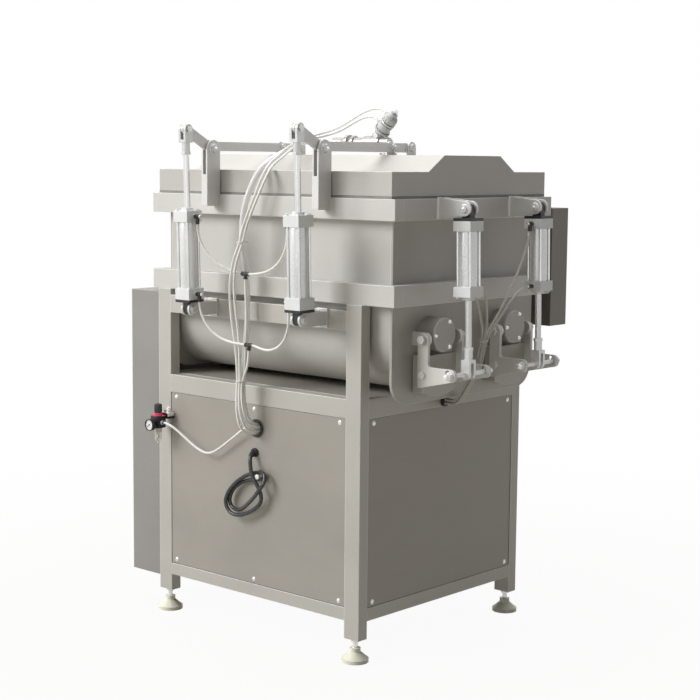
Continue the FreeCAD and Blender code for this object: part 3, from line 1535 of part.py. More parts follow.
def down_the_plate(across, along):
    """The way of one door tube from the tie down the end plate to the gland."""
    a = across
    return [
        (611.5 + a, -42 + along, 1013), (603 + a, -46 + along, 971), (596 + a, -50 + along, 927 - a * 0.2),
        (577 + a * 0.8, -51 + along, 888 - a * 0.5), (549 + a * 0.75, -49 + along, 849 - a * 0.7),
        (521 + a * 0.6, -41 + along, 812 - a * 0.8), (491 + a * 0.4, -27 + along, 793 - a * 0.9),
        (462 + a * 0.2, -9 + along, 787.5 - a), (432.4, -5 + along, 787 - a),
    ]


def discharge_tubes():
    step = 5.4
    cord("discharge_tubes_near", [
        (TUBE, [
            (647.9, -136.5, 1339.7), (646.5, -136, 1308), (640, -134, 1262), (634, -128, 1208),
            (631, -116, 1154), (629, -99, 1106), (619, -66, 1052), *down_the_plate(-step, -step),
        ]),
        (TUBE, [
            (651.5, -125.8, 1165.6), (651.3, -110, 1164), (648, -90, 1150), (640, -73, 1116),
            (630, -57, 1068), *down_the_plate(step, -step),
        ]),
    ])
    cord("discharge_tubes_far", [
        (TUBE, [
            (647.9, 136.5, 1339.6), (646, 134, 1310), (639, 116, 1258), (631, 88, 1196), (623, 56, 1136),
            (615, 14, 1074), *down_the_plate(-step, step),
        ]),
        (TUBE, [
            (651.5, 125.8, 1165.6), (651, 104, 1163), (647, 76, 1148), (641, 46, 1120), (632, 10, 1076),
            *down_the_plate(step, step),
        ]),
    ])


def build():
    frame_tubes()
    base_panels()
    frame_screws()
    feet()
    trough_shell()
    trough_ends()
    trough_rings()
    bearing_housings()
    mixing_shaft(-1, "mixing_shaft_near")
    mixing_shaft(1, "mixing_shaft_far")
    lid_shell()
    lid_gasket()
    lid_levers()
    lift_brackets()
    door_supports()
    lid_cylinders()
    for side, letter in ((-1, "near"), (1, "far")):
        door_cylinder(side, letter)
        door_leaf(side, letter)
        door_arms(side, letter)
    drive_cabinet()
    control_box()
    regulator()
    vacuum_valve()
    grommets()
    tube_fittings()
    power_lead()
    hose_bundle()
    lid_tubes()
    discharge_tubes()


def check_states():
    for obj in doc.Objects:
        if "Invalid" in obj.State or "Error" in obj.State:
            raise RuntimeError(f"{obj.Label} did not build: {obj.State}")
    for obj in NODES:
        if obj.Shape.isNull() or not obj.Shape.isValid():
            raise RuntimeError(f"{obj.Label} is not a valid shape")


def seat_on_origin():
    """Move every sub-part so that the origin lies under the middle of the machine, on the floor."""
    box = FreeCAD.BoundBox()
    for obj in NODES:
        if obj.Label not in CORDS:
            box.add(obj.Shape.BoundBox)
    move = FreeCAD.Vector(-(box.XMin + box.XMax) / 2, -(box.YMin + box.YMax) / 2, -box.ZMin)
    for obj in NODES:
        place = obj.Placement
        obj.Placement = FreeCAD.Placement(place.Base + move, place.Rotation)
    print(f"origin moved by {move.x:.4f}, {move.y:.4f}, {move.z:.4f}; size "
          f"{box.XLength:.1f} x {box.YLength:.1f} x {box.ZLength:.1f}")


def export():
    for obj in NODES:
        obj.Shape.exportStep(f"parts/{obj.Label}.step")
    print(f"{len(NODES)} sub-parts written")


build()
doc.recompute()
check_states()
seat_on_origin()
doc.recompute()
check_states()
export()
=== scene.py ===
"""Looks for a twin-shaft vacuum meat mixer: its camera, cords, detailed pieces, materials and light.

Cord routes, the camera and the lamps are in metres, the small pieces in millimetres. Cords and pieces are
placed in the machine's own coordinates, whose origin is on the floor between the two mixing shafts. ORIGIN
moves them into the scene.
"""

import math

import bmesh
import bpy
from mathutils import Matrix, Vector


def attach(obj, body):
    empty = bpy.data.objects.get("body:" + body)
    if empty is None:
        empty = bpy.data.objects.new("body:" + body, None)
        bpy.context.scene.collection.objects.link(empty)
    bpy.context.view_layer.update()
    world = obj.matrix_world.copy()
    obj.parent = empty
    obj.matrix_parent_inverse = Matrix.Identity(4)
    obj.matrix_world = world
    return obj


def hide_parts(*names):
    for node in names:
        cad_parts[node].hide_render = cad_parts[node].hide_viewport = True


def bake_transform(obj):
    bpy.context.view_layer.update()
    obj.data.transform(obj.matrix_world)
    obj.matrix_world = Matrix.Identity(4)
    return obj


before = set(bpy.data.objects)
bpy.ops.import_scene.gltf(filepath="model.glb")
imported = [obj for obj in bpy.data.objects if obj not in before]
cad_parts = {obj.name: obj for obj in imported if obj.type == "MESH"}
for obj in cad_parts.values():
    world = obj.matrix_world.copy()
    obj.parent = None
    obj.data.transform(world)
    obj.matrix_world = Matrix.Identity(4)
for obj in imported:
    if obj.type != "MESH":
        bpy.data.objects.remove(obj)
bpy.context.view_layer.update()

# Shared places

ORIGIN = Vector((-0.01942, 0.01979, 0.0))

# Camera, as fitted to the photograph

CAMERA_AT = Vector((3.5651, -3.9675, 1.5525)) + ORIGIN
CAMERA_LENS = 80.86
CAMERA_YAW = math.radians(41.89)
CAMERA_PITCH = math.radians(6.80)
CAMERA_ROLL = math.radians(0.51)


def look():
    """The camera at the photograph's place, direction and roll."""
    forward = Vector((-math.sin(CAMERA_YAW) * math.cos(CAMERA_PITCH),
                      math.cos(CAMERA_YAW) * math.cos(CAMERA_PITCH), -math.sin(CAMERA_PITCH)))
    right = Vector((math.cos(CAMERA_YAW), math.sin(CAMERA_YAW), 0.0))
    up = right.cross(forward)
    across = right * math.cos(CAMERA_ROLL) + up * math.sin(CAMERA_ROLL)
    upward = up * math.cos(CAMERA_ROLL) - right * math.sin(CAMERA_ROLL)
    data = bpy.data.cameras.new("camera")
    data.lens = CAMERA_LENS
    data.clip_start = 0.05
    data.clip_end = 100.0
    camera = bpy.data.objects.new("camera", data)
    bpy.context.scene.collection.objects.link(camera)
    turn = Matrix((across, upward, -forward)).transposed()
    camera.matrix_world = Matrix.Translation(CAMERA_AT) @ turn.to_4x4()
    bpy.context.scene.camera = camera


look()


# Cord diameters

HOSE = 0.019
TUBE = 0.008
CABLE = 0.013

# Cord routes in the machine's coordinates, the same points as the CAD routes

POWER_CABLE = [
    (-0.036, -0.403, 0.611), (-0.0358, -0.423, 0.6108), (-0.033, -0.437, 0.6), (-0.027, -0.443, 0.578),
    (-0.022, -0.444, 0.552), (-0.012, -0.443, 0.53), (0.004, -0.441, 0.51), (0.017, -0.439, 0.489),
    (0.02, -0.438, 0.468), (0.013, -0.438, 0.451), (-0.007, -0.438, 0.433), (-0.04, -0.438, 0.414),
    (-0.078, -0.44, 0.399), (-0.116, -0.441, 0.399), (-0.139, -0.441, 0.416), (-0.147, -0.44, 0.438),
    (-0.137, -0.439, 0.467), (-0.111, -0.438, 0.497), (-0.08, -0.434, 0.522), (-0.045, -0.429, 0.541),
    (-0.012, -0.427, 0.55), (0.012, -0.429, 0.555), (0.031, -0.434, 0.549), (0.038, -0.441, 0.533),
    (0.036, -0.449, 0.517), (0.023, -0.453, 0.5), (0.001, -0.45, 0.476), (-0.03, -0.443, 0.451),
    (-0.063, -0.437, 0.427), (-0.09, -0.432, 0.414), (-0.12, -0.428, 0.414), (-0.137, -0.4275, 0.427),
    (-0.141, -0.427, 0.446), (-0.13, -0.426, 0.472), (-0.104, -0.425, 0.497), (-0.071, -0.423, 0.514),
    (-0.034, -0.421, 0.523), (-0.001, -0.42, 0.53), (0.02, -0.419, 0.534),
]
VACUUM_HOSE = [
    (-0.0758, 0, 1.621), (-0.1, -0.0015, 1.6213), (-0.124, -0.022, 1.622), (-0.132, -0.062, 1.622),
    (-0.122, -0.112, 1.618), (-0.096, -0.172, 1.608), (-0.066, -0.232, 1.594), (-0.038, -0.296, 1.578),
    (-0.016, -0.356, 1.562), (-0.008, -0.404, 1.541), (-0.014, -0.436, 1.502), (-0.032, -0.452, 1.445),
    (-0.044, -0.459, 1.39), (-0.047, -0.461, 1.34), (-0.047, -0.46, 1.297), (-0.046, -0.451, 1.24),
    (-0.045, -0.442, 1.18), (-0.042, -0.441, 1.11), (-0.04, -0.444, 1.04), (-0.041, -0.45, 0.97),
    (-0.043, -0.457, 0.905), (-0.045, -0.464, 0.851), (-0.046, -0.468, 0.803), (-0.045, -0.467, 0.764),
    (-0.042, -0.459, 0.728), (-0.038, -0.443, 0.704), (-0.0335, -0.422, 0.692), (-0.0315, -0.402, 0.689),
]
VALVE_TUBE_A = [
    (0.1277, -0.004, 1.6883), (0.116, -0.0045, 1.7), (0.092, -0.008, 1.706), (0.056, -0.014, 1.697),
    (0.018, -0.022, 1.677), (-0.02, -0.034, 1.656), (-0.056, -0.058, 1.642), (-0.072, -0.096, 1.633),
    (-0.066, -0.14, 1.623), (-0.048, -0.196, 1.61), (-0.022, -0.27, 1.59), (0.008, -0.345, 1.562),
    (0.027, -0.404, 1.538), (0.033, -0.44, 1.495), (0.014, -0.452, 1.441), (-0.008, -0.462, 1.385),
    (-0.024, -0.469, 1.337), (-0.035, -0.469, 1.297), (-0.046, -0.48, 1.254), (-0.055, -0.485, 1.209),
    (-0.06, -0.485, 1.165), (-0.059, -0.483, 1.11), (-0.051, -0.48, 1.045), (-0.043, -0.478, 0.985),
    (-0.04, -0.479, 0.918), (-0.04, -0.4773, 0.851), (-0.0375, -0.4845, 0.795), (-0.03, -0.486, 0.745),
    (-0.021, -0.476, 0.708), (-0.017, -0.456, 0.69), (-0.0157, -0.43, 0.6855), (-0.0155, -0.404, 0.6845),
]
VALVE_TUBE_B = [
    (0.1542, 0.004, 1.7149), (0.142, 0.0035, 1.727), (0.115, 0.002, 1.732), (0.076, -0.006, 1.724),
    (0.034, -0.016, 1.702), (-0.006, -0.027, 1.678), (-0.046, -0.038, 1.66), (-0.078, -0.066, 1.647),
    (-0.086, -0.112, 1.637), (-0.078, -0.16, 1.625), (-0.06, -0.208, 1.614), (-0.034, -0.28, 1.594),
    (-0.004, -0.35, 1.567), (0.015, -0.407, 1.543), (0.021, -0.444, 1.499), (0.003, -0.456, 1.443),
    (-0.019, -0.466, 1.385), (-0.034, -0.475, 1.337), (-0.0435, -0.474, 1.297), (-0.057, -0.485, 1.254),
    (-0.068, -0.488, 1.209), (-0.075, -0.488, 1.165), (-0.077, -0.486, 1.11), (-0.072, -0.483, 1.045),
    (-0.062, -0.48, 0.985), (-0.053, -0.479, 0.918), (-0.051, -0.4773, 0.851), (-0.049, -0.484, 0.795),
    (-0.043, -0.488, 0.745), (-0.034, -0.484, 0.705), (-0.027, -0.464, 0.682), (-0.024, -0.437, 0.677),
    (-0.0235, -0.41, 0.6765),
]
TRUNK_TUBE_A = [
    (-0.026, -0.466, 1.1795), (-0.025, -0.465, 1.12), (-0.023, -0.464, 1.056), (-0.025, -0.465, 0.985),
    (-0.028, -0.466, 0.92), (-0.031, -0.467, 0.851), (-0.027, -0.4685, 0.8), (-0.025, -0.463, 0.754),
    (-0.022, -0.449, 0.722), (-0.0215, -0.428, 0.708), (-0.0215, -0.403, 0.7048),
]
TRUNK_TUBE_B = [
    (0.016, -0.492, 0.9566), (0.014, -0.4915, 0.93), (0.004, -0.4875, 0.902), (-0.013, -0.4815, 0.878),
    (-0.0295, -0.4765, 0.851), (-0.031, -0.478, 0.82), (-0.028, -0.48, 0.788), (-0.022, -0.478, 0.752),
    (-0.0175, -0.466, 0.72), (-0.0155, -0.446, 0.705), (-0.0147, -0.424, 0.6985),
    (-0.0145, -0.402, 0.6968),
]
REGULATOR_TUBE = [
    (-0.4278, -0.4585, 0.668), (-0.402, -0.457, 0.666), (-0.359, -0.447, 0.64), (-0.31, -0.444, 0.611),
    (-0.264, -0.44, 0.589), (-0.226, -0.438, 0.585), (-0.189, -0.436, 0.602), (-0.147, -0.434, 0.631),
    (-0.101, -0.436, 0.662), (-0.066, -0.44, 0.686), (-0.049, -0.427, 0.698), (-0.044, -0.403, 0.7),
]
LID_TUBE_A = [
    (-0.182, -0.5285, 1.3513), (-0.181, -0.528, 1.322), (-0.172, -0.523, 1.291), (-0.149, -0.512, 1.254),
    (-0.118, -0.498, 1.224), (-0.088, -0.483, 1.207), (-0.062, -0.468, 1.1985),
    (-0.0427, -0.4662, 1.1972),
]
LID_TUBE_B = [
    (0.22, -0.5285, 1.3513), (0.219, -0.528, 1.319), (0.206, -0.522, 1.286), (0.176, -0.511, 1.252),
    (0.134, -0.498, 1.226), (0.088, -0.485, 1.21), (0.044, -0.474, 1.202), (0.014, -0.467, 1.1983),
    (-0.0095, -0.466, 1.197),
]
LID_TUBE_C = [
    (-0.182, -0.5215, 1.1003), (-0.18, -0.521, 1.076), (-0.166, -0.517, 1.044), (-0.142, -0.511, 1.012),
    (-0.108, -0.503, 0.989), (-0.066, -0.497, 0.978), (-0.028, -0.493, 0.9746), (-0.0005, -0.492, 0.974),
]
LID_TUBE_D = [
    (0.22, -0.5215, 1.1003), (0.219, -0.52, 1.072), (0.208, -0.512, 1.038), (0.186, -0.505, 1.004),
    (0.154, -0.5, 0.978), (0.114, -0.497, 0.965), (0.078, -0.4945, 0.966), (0.052, -0.493, 0.972),
    (0.0327, -0.492, 0.974),
]
NEAR_UPPER = [
    (0.6479, -0.1365, 1.3397), (0.6465, -0.136, 1.308), (0.64, -0.134, 1.262), (0.634, -0.128, 1.208),
    (0.631, -0.116, 1.154), (0.629, -0.099, 1.106), (0.619, -0.066, 1.052),
]
NEAR_LOWER = [
    (0.6515, -0.1258, 1.1656), (0.6513, -0.11, 1.164), (0.648, -0.09, 1.15), (0.64, -0.073, 1.116),
    (0.63, -0.057, 1.068),
]
FAR_UPPER = [
    (0.6479, 0.1365, 1.3396), (0.646, 0.134, 1.31), (0.639, 0.116, 1.258), (0.631, 0.088, 1.196),
    (0.623, 0.056, 1.136), (0.615, 0.014, 1.074),
]
FAR_LOWER = [
    (0.6515, 0.1258, 1.1656), (0.651, 0.104, 1.163), (0.647, 0.076, 1.148), (0.641, 0.046, 1.12),
    (0.632, 0.01, 1.076),
]


def down_the_plate(across, along):
    """The way of one door tube from the tie down the end plate to its gland."""
    return [
        (0.6115 + across, -0.042 + along, 1.013), (0.603 + across, -0.046 + along, 0.971),
        (0.596 + across, -0.05 + along, 0.927 - across * 0.2),
        (0.577 + across * 0.8, -0.051 + along, 0.888 - across * 0.5),
        (0.549 + across * 0.75, -0.049 + along, 0.849 - across * 0.7),
        (0.521 + across * 0.6, -0.041 + along, 0.812 - across * 0.8),
        (0.491 + across * 0.4, -0.027 + along, 0.793 - across * 0.9),
        (0.462 + across * 0.2, -0.009 + along, 0.7875 - across),
        (0.4324, -0.005 + along, 0.787 - across),
    ]


TUBE_STEP = 0.0054
NEAR_UPPER = NEAR_UPPER + down_the_plate(-TUBE_STEP, -TUBE_STEP)
NEAR_LOWER = NEAR_LOWER + down_the_plate(TUBE_STEP, -TUBE_STEP)
FAR_UPPER = FAR_UPPER + down_the_plate(-TUBE_STEP, TUBE_STEP)
FAR_LOWER = FAR_LOWER + down_the_plate(TUBE_STEP, TUBE_STEP)


# Material helpers

NOISE_MOST = (0.3, 0.7)
NOISE_MIDDLE = (0.35, 0.65)
BRIGHTEST = 0.95


def add(tree, kind, inputs=None, **settings):
    """A shader node with its settings, its inputs given as values or as other nodes' sockets."""
    node = tree.nodes.new(kind)
    for key, value in settings.items():
        setattr(node, key, value)
    for socket, value in (inputs or {}).items():
        if isinstance(value, bpy.types.NodeSocket):
            tree.links.new(value, node.inputs[socket])
        else:
            node.inputs[socket].default_value = value
    return node


def new_material(name, roughness, metallic=0.0, **shader_values):
    """A material with a principled shader, whose uniform values are set on its own sockets."""
    material = bpy.data.materials.new(name)
    material.use_nodes = True
    shader = material.node_tree.nodes["Principled BSDF"]
    shader.inputs["Roughness"].default_value = roughness
    shader.inputs["Metallic"].default_value = metallic
    for socket, value in shader_values.items():
        shader.inputs[socket].default_value = value
    return material, material.node_tree, shader


def noise(tree, scale, stretch=(1.0, 1.0, 1.0), detail=4.0, rough=0.55):
    """A noise value over the piece's own coordinates, stretched along chosen axes."""
    place = add(tree, "ShaderNodeTexCoord")
    mapping = add(tree, "ShaderNodeMapping", {"Vector": place.outputs["Object"], "Scale": stretch})
    return add(tree, "ShaderNodeTexNoise", {"Vector": mapping.outputs["Vector"], "Scale": scale,
                                            "Detail": detail, "Roughness": rough}).outputs["Fac"]


def remap(tree, value, low, high, out_low, out_high):
    """A value's range mapped to another range."""
    return add(tree, "ShaderNodeMapRange", {"Value": value, "From Min": low, "From Max": high,
                                            "To Min": out_low, "To Max": out_high}).outputs["Result"]


def blend_colour(tree, share, first, second):
    """A colour between two, by a share from 0 to 1."""
    mix = add(tree, "ShaderNodeMix", data_type="RGBA")
    tree.links.new(share, mix.inputs["Factor"])
    for socket, value in ((mix.inputs[6], first), (mix.inputs[7], second)):
        if isinstance(value, bpy.types.NodeSocket):
            tree.links.new(value, socket)
        else:
            socket.default_value = (*value, 1.0)
    return mix.outputs[2]


def blend_value(tree, share, first, second):
    """A value between two sockets, by a share from 0 to 1."""
    mix = add(tree, "ShaderNodeMix", data_type="FLOAT")
    tree.links.new(share, mix.inputs["Factor"])
    tree.links.new(first, mix.inputs[2])
    tree.links.new(second, mix.inputs[3])
    return mix.outputs[0]


def brighter(colour, times):
    """A colour made brighter, short of white."""
    return tuple(min(BRIGHTEST, part * times) for part in colour)


def bump(tree, shader, height, strength, distance, normal=None):
    """Small relief on the surface from a height value, over a rounded normal if one is given."""
    relief = add(tree, "ShaderNodeBump", {"Height": height, "Strength": strength, "Distance": distance})
    if normal:
        tree.links.new(normal, relief.inputs["Normal"])
    tree.links.new(relief.outputs["Normal"], shader.inputs["Normal"])


# Materials

EDGE_SAMPLES = 6
STILL_FLAT = 0.99
# How far the bevel normal must turn from the face before the painted edge highlight is full
EDGE_HIGHLIGHT_FULL = 0.88
BRUSH_SCALE = 420.0
BRUSH_STRETCH = 0.02
BRUSH_RELIEF = 0.12
CLOUD_ROUGHNESS = 0.05


def painted_edge_highlight(tree, radius):
    """An edge's rounded normal, and a share that rises from 0 on a face to 1 on its edge, where a highlight is
    painted.
    """
    rounded = add(tree, "ShaderNodeBevel", {"Radius": radius}, samples=EDGE_SAMPLES).outputs["Normal"]
    flat = add(tree, "ShaderNodeNewGeometry").outputs["Normal"]
    same = add(tree, "ShaderNodeVectorMath", {0: rounded, 1: flat}, operation="DOT_PRODUCT").outputs["Value"]
    return rounded, remap(tree, same, STILL_FLAT, EDGE_HIGHLIGHT_FULL, 0.0, 1.0)


def brushed_metal(name, light, dark, roughness, metallic=0.12, edge=0.003):
    """Satin metal: fine brush lines along the sheet, soft cloudy patches and a painted highlight on its
    rounded edges.
    """
    material, tree, shader = new_material(name, roughness, metallic=metallic)
    along_x = noise(tree, BRUSH_SCALE, (BRUSH_STRETCH, 1.0, 1.0), 2.0, 0.5)
    along_y = noise(tree, BRUSH_SCALE, (1.0, BRUSH_STRETCH, 1.0), 2.0, 0.5)
    geometry = add(tree, "ShaderNodeNewGeometry")
    normal = add(tree, "ShaderNodeSeparateXYZ", {"Vector": geometry.outputs["Normal"]})
    endways = add(tree, "ShaderNodeMath", {0: normal.outputs["X"]}, operation="ABSOLUTE").outputs[0]
    lines = blend_value(tree, endways, along_x, along_y)
    cloud = noise(tree, 2.4, (1.0, 1.0, 1.6))
    share = add(tree, "ShaderNodeMath", {0: remap(tree, lines, *NOISE_MOST, 0.0, 0.3),
                                         1: remap(tree, cloud, *NOISE_MIDDLE, 0.0, 0.7)}, operation="ADD")
    rounded, highlight_share = painted_edge_highlight(tree, edge)
    sheet = blend_colour(tree, share.outputs[0], dark, light)
    # Rounded edges are painted up to 1.9 times lighter: a painted highlight
    tree.links.new(blend_colour(tree, highlight_share, sheet, brighter(light, 1.9)), shader.inputs["Base Color"])
    tree.links.new(remap(tree, cloud, *NOISE_MOST, roughness - CLOUD_ROUGHNESS, roughness + CLOUD_ROUGHNESS),
                   shader.inputs["Roughness"])
    bump(tree, shader, lines, BRUSH_RELIEF, 0.0002, rounded)
    return material


def plain_metal(name, light, dark, roughness, scale=60.0, relief=0.15, metallic=1.0, edge=0.0007):
    """Turned, cast, plated or anodised metal with fine mottling and a painted highlight on its edges."""
    material, tree, shader = new_material(name, roughness, metallic=metallic)
    fine = noise(tree, scale, detail=5.0)
    cloud = noise(tree, 9.0, detail=3.0)
    rounded, highlight_share = painted_edge_highlight(tree, edge)
    body = blend_colour(tree, remap(tree, cloud, *NOISE_MIDDLE, 0.0, 1.0), dark, light)
    # Edges are painted up to 1.15 times lighter: a painted highlight
    tree.links.new(blend_colour(tree, highlight_share, body, brighter(light, 1.15)), shader.inputs["Base Color"])
    tree.links.new(remap(tree, fine, *NOISE_MOST, roughness * 0.85, roughness * 1.15),
                   shader.inputs["Roughness"])
    bump(tree, shader, fine, relief, 0.0002, rounded)
    return material


def braided(name, light, dark, roughness):
    """A tube under a woven sleeve: two crossing sets of fine slanted strands."""
    material, tree, shader = new_material(name, roughness)
    place = add(tree, "ShaderNodeTexCoord")
    strands = []
    for slant in (1.0, -1.0):
        mapping = add(tree, "ShaderNodeMapping", {"Vector": place.outputs["Object"],
                                                  "Rotation": (0.0, 0.6 * slant, 0.4)})
        strands.append(add(tree, "ShaderNodeTexWave", {"Vector": mapping.outputs["Vector"], "Scale": 90.0,
                                                       "Distortion": 1.5, "Detail": 2.0},
                           bands_direction="Z").outputs["Fac"])
    weave = add(tree, "ShaderNodeMath", {0: strands[0], 1: strands[1]}, operation="MAXIMUM").outputs[0]
    tree.links.new(blend_colour(tree, weave, dark, light), shader.inputs["Base Color"])
    tree.links.new(remap(tree, weave, 0.0, 1.0, roughness * 1.2, roughness * 0.85),
                   shader.inputs["Roughness"])
    bump(tree, shader, weave, 0.5, 0.0004)
    return material


def moulded(name, light, dark, roughness, scale=180.0, relief=0.2, **shader_values):
    """Moulded plastic or rubber: a fine skin texture over slight colour variation."""
    material, tree, shader = new_material(name, roughness, **shader_values)
    fine = noise(tree, scale, detail=5.0)
    cloud = noise(tree, 14.0, detail=3.0)
    tree.links.new(blend_colour(tree, remap(tree, cloud, *NOISE_MIDDLE, 0.0, 1.0), dark, light),
                   shader.inputs["Base Color"])
    tree.links.new(remap(tree, fine, *NOISE_MOST, roughness * 0.8, min(1.0, roughness * 1.2)),
                   shader.inputs["Roughness"])
    bump(tree, shader, fine, relief, 0.00015)
    return material


def clear(name, tint, roughness, least):
    """Clear plastic: tinted, glossy, and least opaque where it is looked at straight on."""
    material = bpy.data.materials.new(name)
    material.use_nodes = True
    tree = material.node_tree
    shader = tree.nodes["Principled BSDF"]
    shader.inputs["IOR"].default_value = 1.45
    fine = noise(tree, 90.0, detail=4.0)
    tree.links.new(remap(tree, fine, *NOISE_MOST, roughness * 0.7, roughness * 1.4),
                   shader.inputs["Roughness"])
    tree.links.new(blend_colour(tree, fine, tint, tuple(0.93 * c for c in tint)), shader.inputs["Base Color"])
    weight = add(tree, "ShaderNodeLayerWeight", {"Blend": 0.35})
    tree.links.new(remap(tree, weight.outputs["Facing"], 0.0, 1.0, least, 0.92), shader.inputs["Alpha"])
    bump(tree, shader, fine, 0.1, 0.0003)
    return material


MATERIALS = {
    "stainless": brushed_metal("satin_stainless", (0.495, 0.483, 0.454), (0.446, 0.435, 0.407), 0.46),
    "tube_steel": brushed_metal(
        "tube_steel", (0.543, 0.525, 0.481), (0.492, 0.475, 0.432), 0.46, edge=0.0034),
    "ring_steel": brushed_metal(
        "ring_steel", (0.646, 0.637, 0.608), (0.59, 0.581, 0.553), 0.46, edge=0.0034),
    "panel_steel": brushed_metal("panel_steel", (0.4, 0.374, 0.334), (0.353, 0.33, 0.292), 0.48),
    "cabinet_steel": brushed_metal("cabinet_steel", (0.322, 0.313, 0.295), (0.282, 0.274, 0.259), 0.48),
    "lid_steel": brushed_metal("lid_steel", (0.536, 0.523, 0.489), (0.483, 0.47, 0.438), 0.46),
    "end_steel": brushed_metal("end_steel", (0.477, 0.465, 0.435), (0.43, 0.418, 0.39), 0.46),
    "shell_steel": brushed_metal("shell_steel", (0.599, 0.59, 0.561), (0.543, 0.534, 0.506), 0.46),
    "pipe_steel": brushed_metal(
        "pipe_steel", (0.50, 0.49, 0.465), (0.42, 0.41, 0.39), 0.36, metallic=0.75, edge=0.0014),
    "plate_steel": brushed_metal(
        "blasted_plate", (0.66, 0.655, 0.635), (0.60, 0.595, 0.575), 0.5, metallic=0.4),
    "arm_steel": brushed_metal("arm_steel", (0.76, 0.75, 0.72), (0.70, 0.69, 0.66), 0.46, metallic=0.15),
    "box_steel": brushed_metal("box_sheet", (0.213, 0.199, 0.174), (0.184, 0.171, 0.15), 0.46),
    "polished_steel": brushed_metal(
        "polished_stainless", (0.66, 0.655, 0.64), (0.55, 0.545, 0.53), 0.3, metallic=0.75, edge=0.0012),
    "screw_steel": plain_metal(
        "bright_screws", (0.90, 0.89, 0.87), (0.80, 0.79, 0.77), 0.26, relief=0.1, metallic=0.5),
    "aluminium": plain_metal(
        "cast_aluminium", (0.84, 0.86, 0.85), (0.78, 0.80, 0.79), 0.45,
        scale=240.0, metallic=0.1, edge=0.0014),
    "barrel_tube": moulded(
        "drawn_aluminium", (0.80, 0.81, 0.80), (0.77, 0.78, 0.77), 0.28,
        scale=600.0, relief=0.01, metallic=0.4),
    "chrome_rod": plain_metal(
        "hard_chrome", (0.80, 0.80, 0.79), (0.74, 0.74, 0.73), 0.2, scale=30.0, relief=0.02, metallic=0.85),
    "zinc": plain_metal(
        "zinc_plate", (0.86, 0.87, 0.86), (0.76, 0.77, 0.76), 0.4,
        scale=160.0, relief=0.2, metallic=0.35, edge=0.001),
    "tie_steel": plain_metal(
        "tie_steel", (0.78, 0.78, 0.77), (0.68, 0.68, 0.67), 0.24, relief=0.05, metallic=0.8),
    "fork_zinc": plain_metal(
        "fork_zinc", (0.64, 0.65, 0.635), (0.54, 0.55, 0.535), 0.36,
        scale=160.0, relief=0.2, metallic=0.6, edge=0.0014),
    "black_fittings": moulded("black_fitting", (0.028, 0.028, 0.03), (0.016, 0.016, 0.017), 0.38),
    "red_plastic": moulded("red_ring", (0.74, 0.07, 0.17), (0.62, 0.05, 0.13), 0.3),
    "white_plastic": moulded("white_moulding", (0.62, 0.63, 0.61), (0.54, 0.55, 0.53), 0.42),
    "dial_white": moulded(
        "dial_white", (0.90, 0.91, 0.90), (0.86, 0.87, 0.86), 0.35, scale=400.0, relief=0.05),
    "dial_black": moulded("dial_black", (0.03, 0.03, 0.03), (0.02, 0.02, 0.02), 0.45),
    "tie_white": moulded("tie_white", (0.84, 0.83, 0.79), (0.76, 0.75, 0.71), 0.4),
    "blue_collet": moulded("blue_collet", (0.20, 0.26, 0.62), (0.15, 0.20, 0.52), 0.32),
    "clear_plastic": clear("clear_bowl", (0.86, 0.88, 0.84), 0.12, 0.22),
    "seal_rubber": moulded("grey_seal", (0.30, 0.295, 0.28), (0.24, 0.235, 0.225), 0.6),
    # Near-black finish for the strips that paint the shadow in the gaps round the base panels
    "painted_gap_shadow": moulded("painted_gap_shadow", (0.075, 0.07, 0.065), (0.05, 0.047, 0.043), 0.7),
    "valve_grey": moulded("valve_grey", (0.60, 0.61, 0.60), (0.50, 0.51, 0.50), 0.38),
    "grommet_rubber": moulded("black_rubber", (0.022, 0.022, 0.023), (0.012, 0.012, 0.013), 0.55),
    "cable_rubber": moulded(
        "cable_sheath", (0.05, 0.05, 0.052), (0.03, 0.03, 0.031), 0.26, scale=120.0, relief=0.12),
    "clear_hose": clear("clear_hose", (0.97, 0.965, 0.965), 0.14, 0.6),
    "tube_plastic": moulded(
        "milky_tube", (0.92, 0.91, 0.88), (0.84, 0.83, 0.79), 0.3, scale=60.0, relief=0.1),
    "door_tube": moulded(
        "grey_tube", (0.66, 0.64, 0.60), (0.57, 0.55, 0.515), 0.38, scale=60.0, relief=0.1),
    "door_braid": braided("braided_tube", (0.84, 0.81, 0.75), (0.46, 0.44, 0.40), 0.45),
    "foot_plastic": moulded("ivory_foot", (0.95, 0.96, 0.80), (0.90, 0.91, 0.75), 0.42),
}


OWN_FINISH = {
    "frame_tubes": "tube_steel", "trough_rings": "ring_steel", "base_panels": "panel_steel",
    "drive_cabinet": "cabinet_steel", "lid_shell": "lid_steel", "trough_ends": "end_steel",
    "trough_shell": "shell_steel", "vacuum_pipe": "pipe_steel",
    "valve_actuator": "valve_grey", "lid_cylinder_clevises": "fork_zinc",
    "door_cylinder_near_rod": "barrel_tube", "door_cylinder_far_rod": "barrel_tube",
    "control_box": "box_steel", "lid_levers": "plate_steel", "lift_brackets": "plate_steel",
    "door_supports": "plate_steel", "door_near_arms": "arm_steel", "door_far_arms": "arm_steel",
}


def dress_frame():
    """Each CAD node takes the material of its own record slot, or a variant of it made for that node."""
    for name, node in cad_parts.items():
        for place, given in enumerate(node.data.materials):
            node.data.materials[place] = MATERIALS[OWN_FINISH.get(name, given.name.split(".")[0])]


dress_frame()


# Cords

LID_HOLDS = (0.0, -0.30, 1.60)


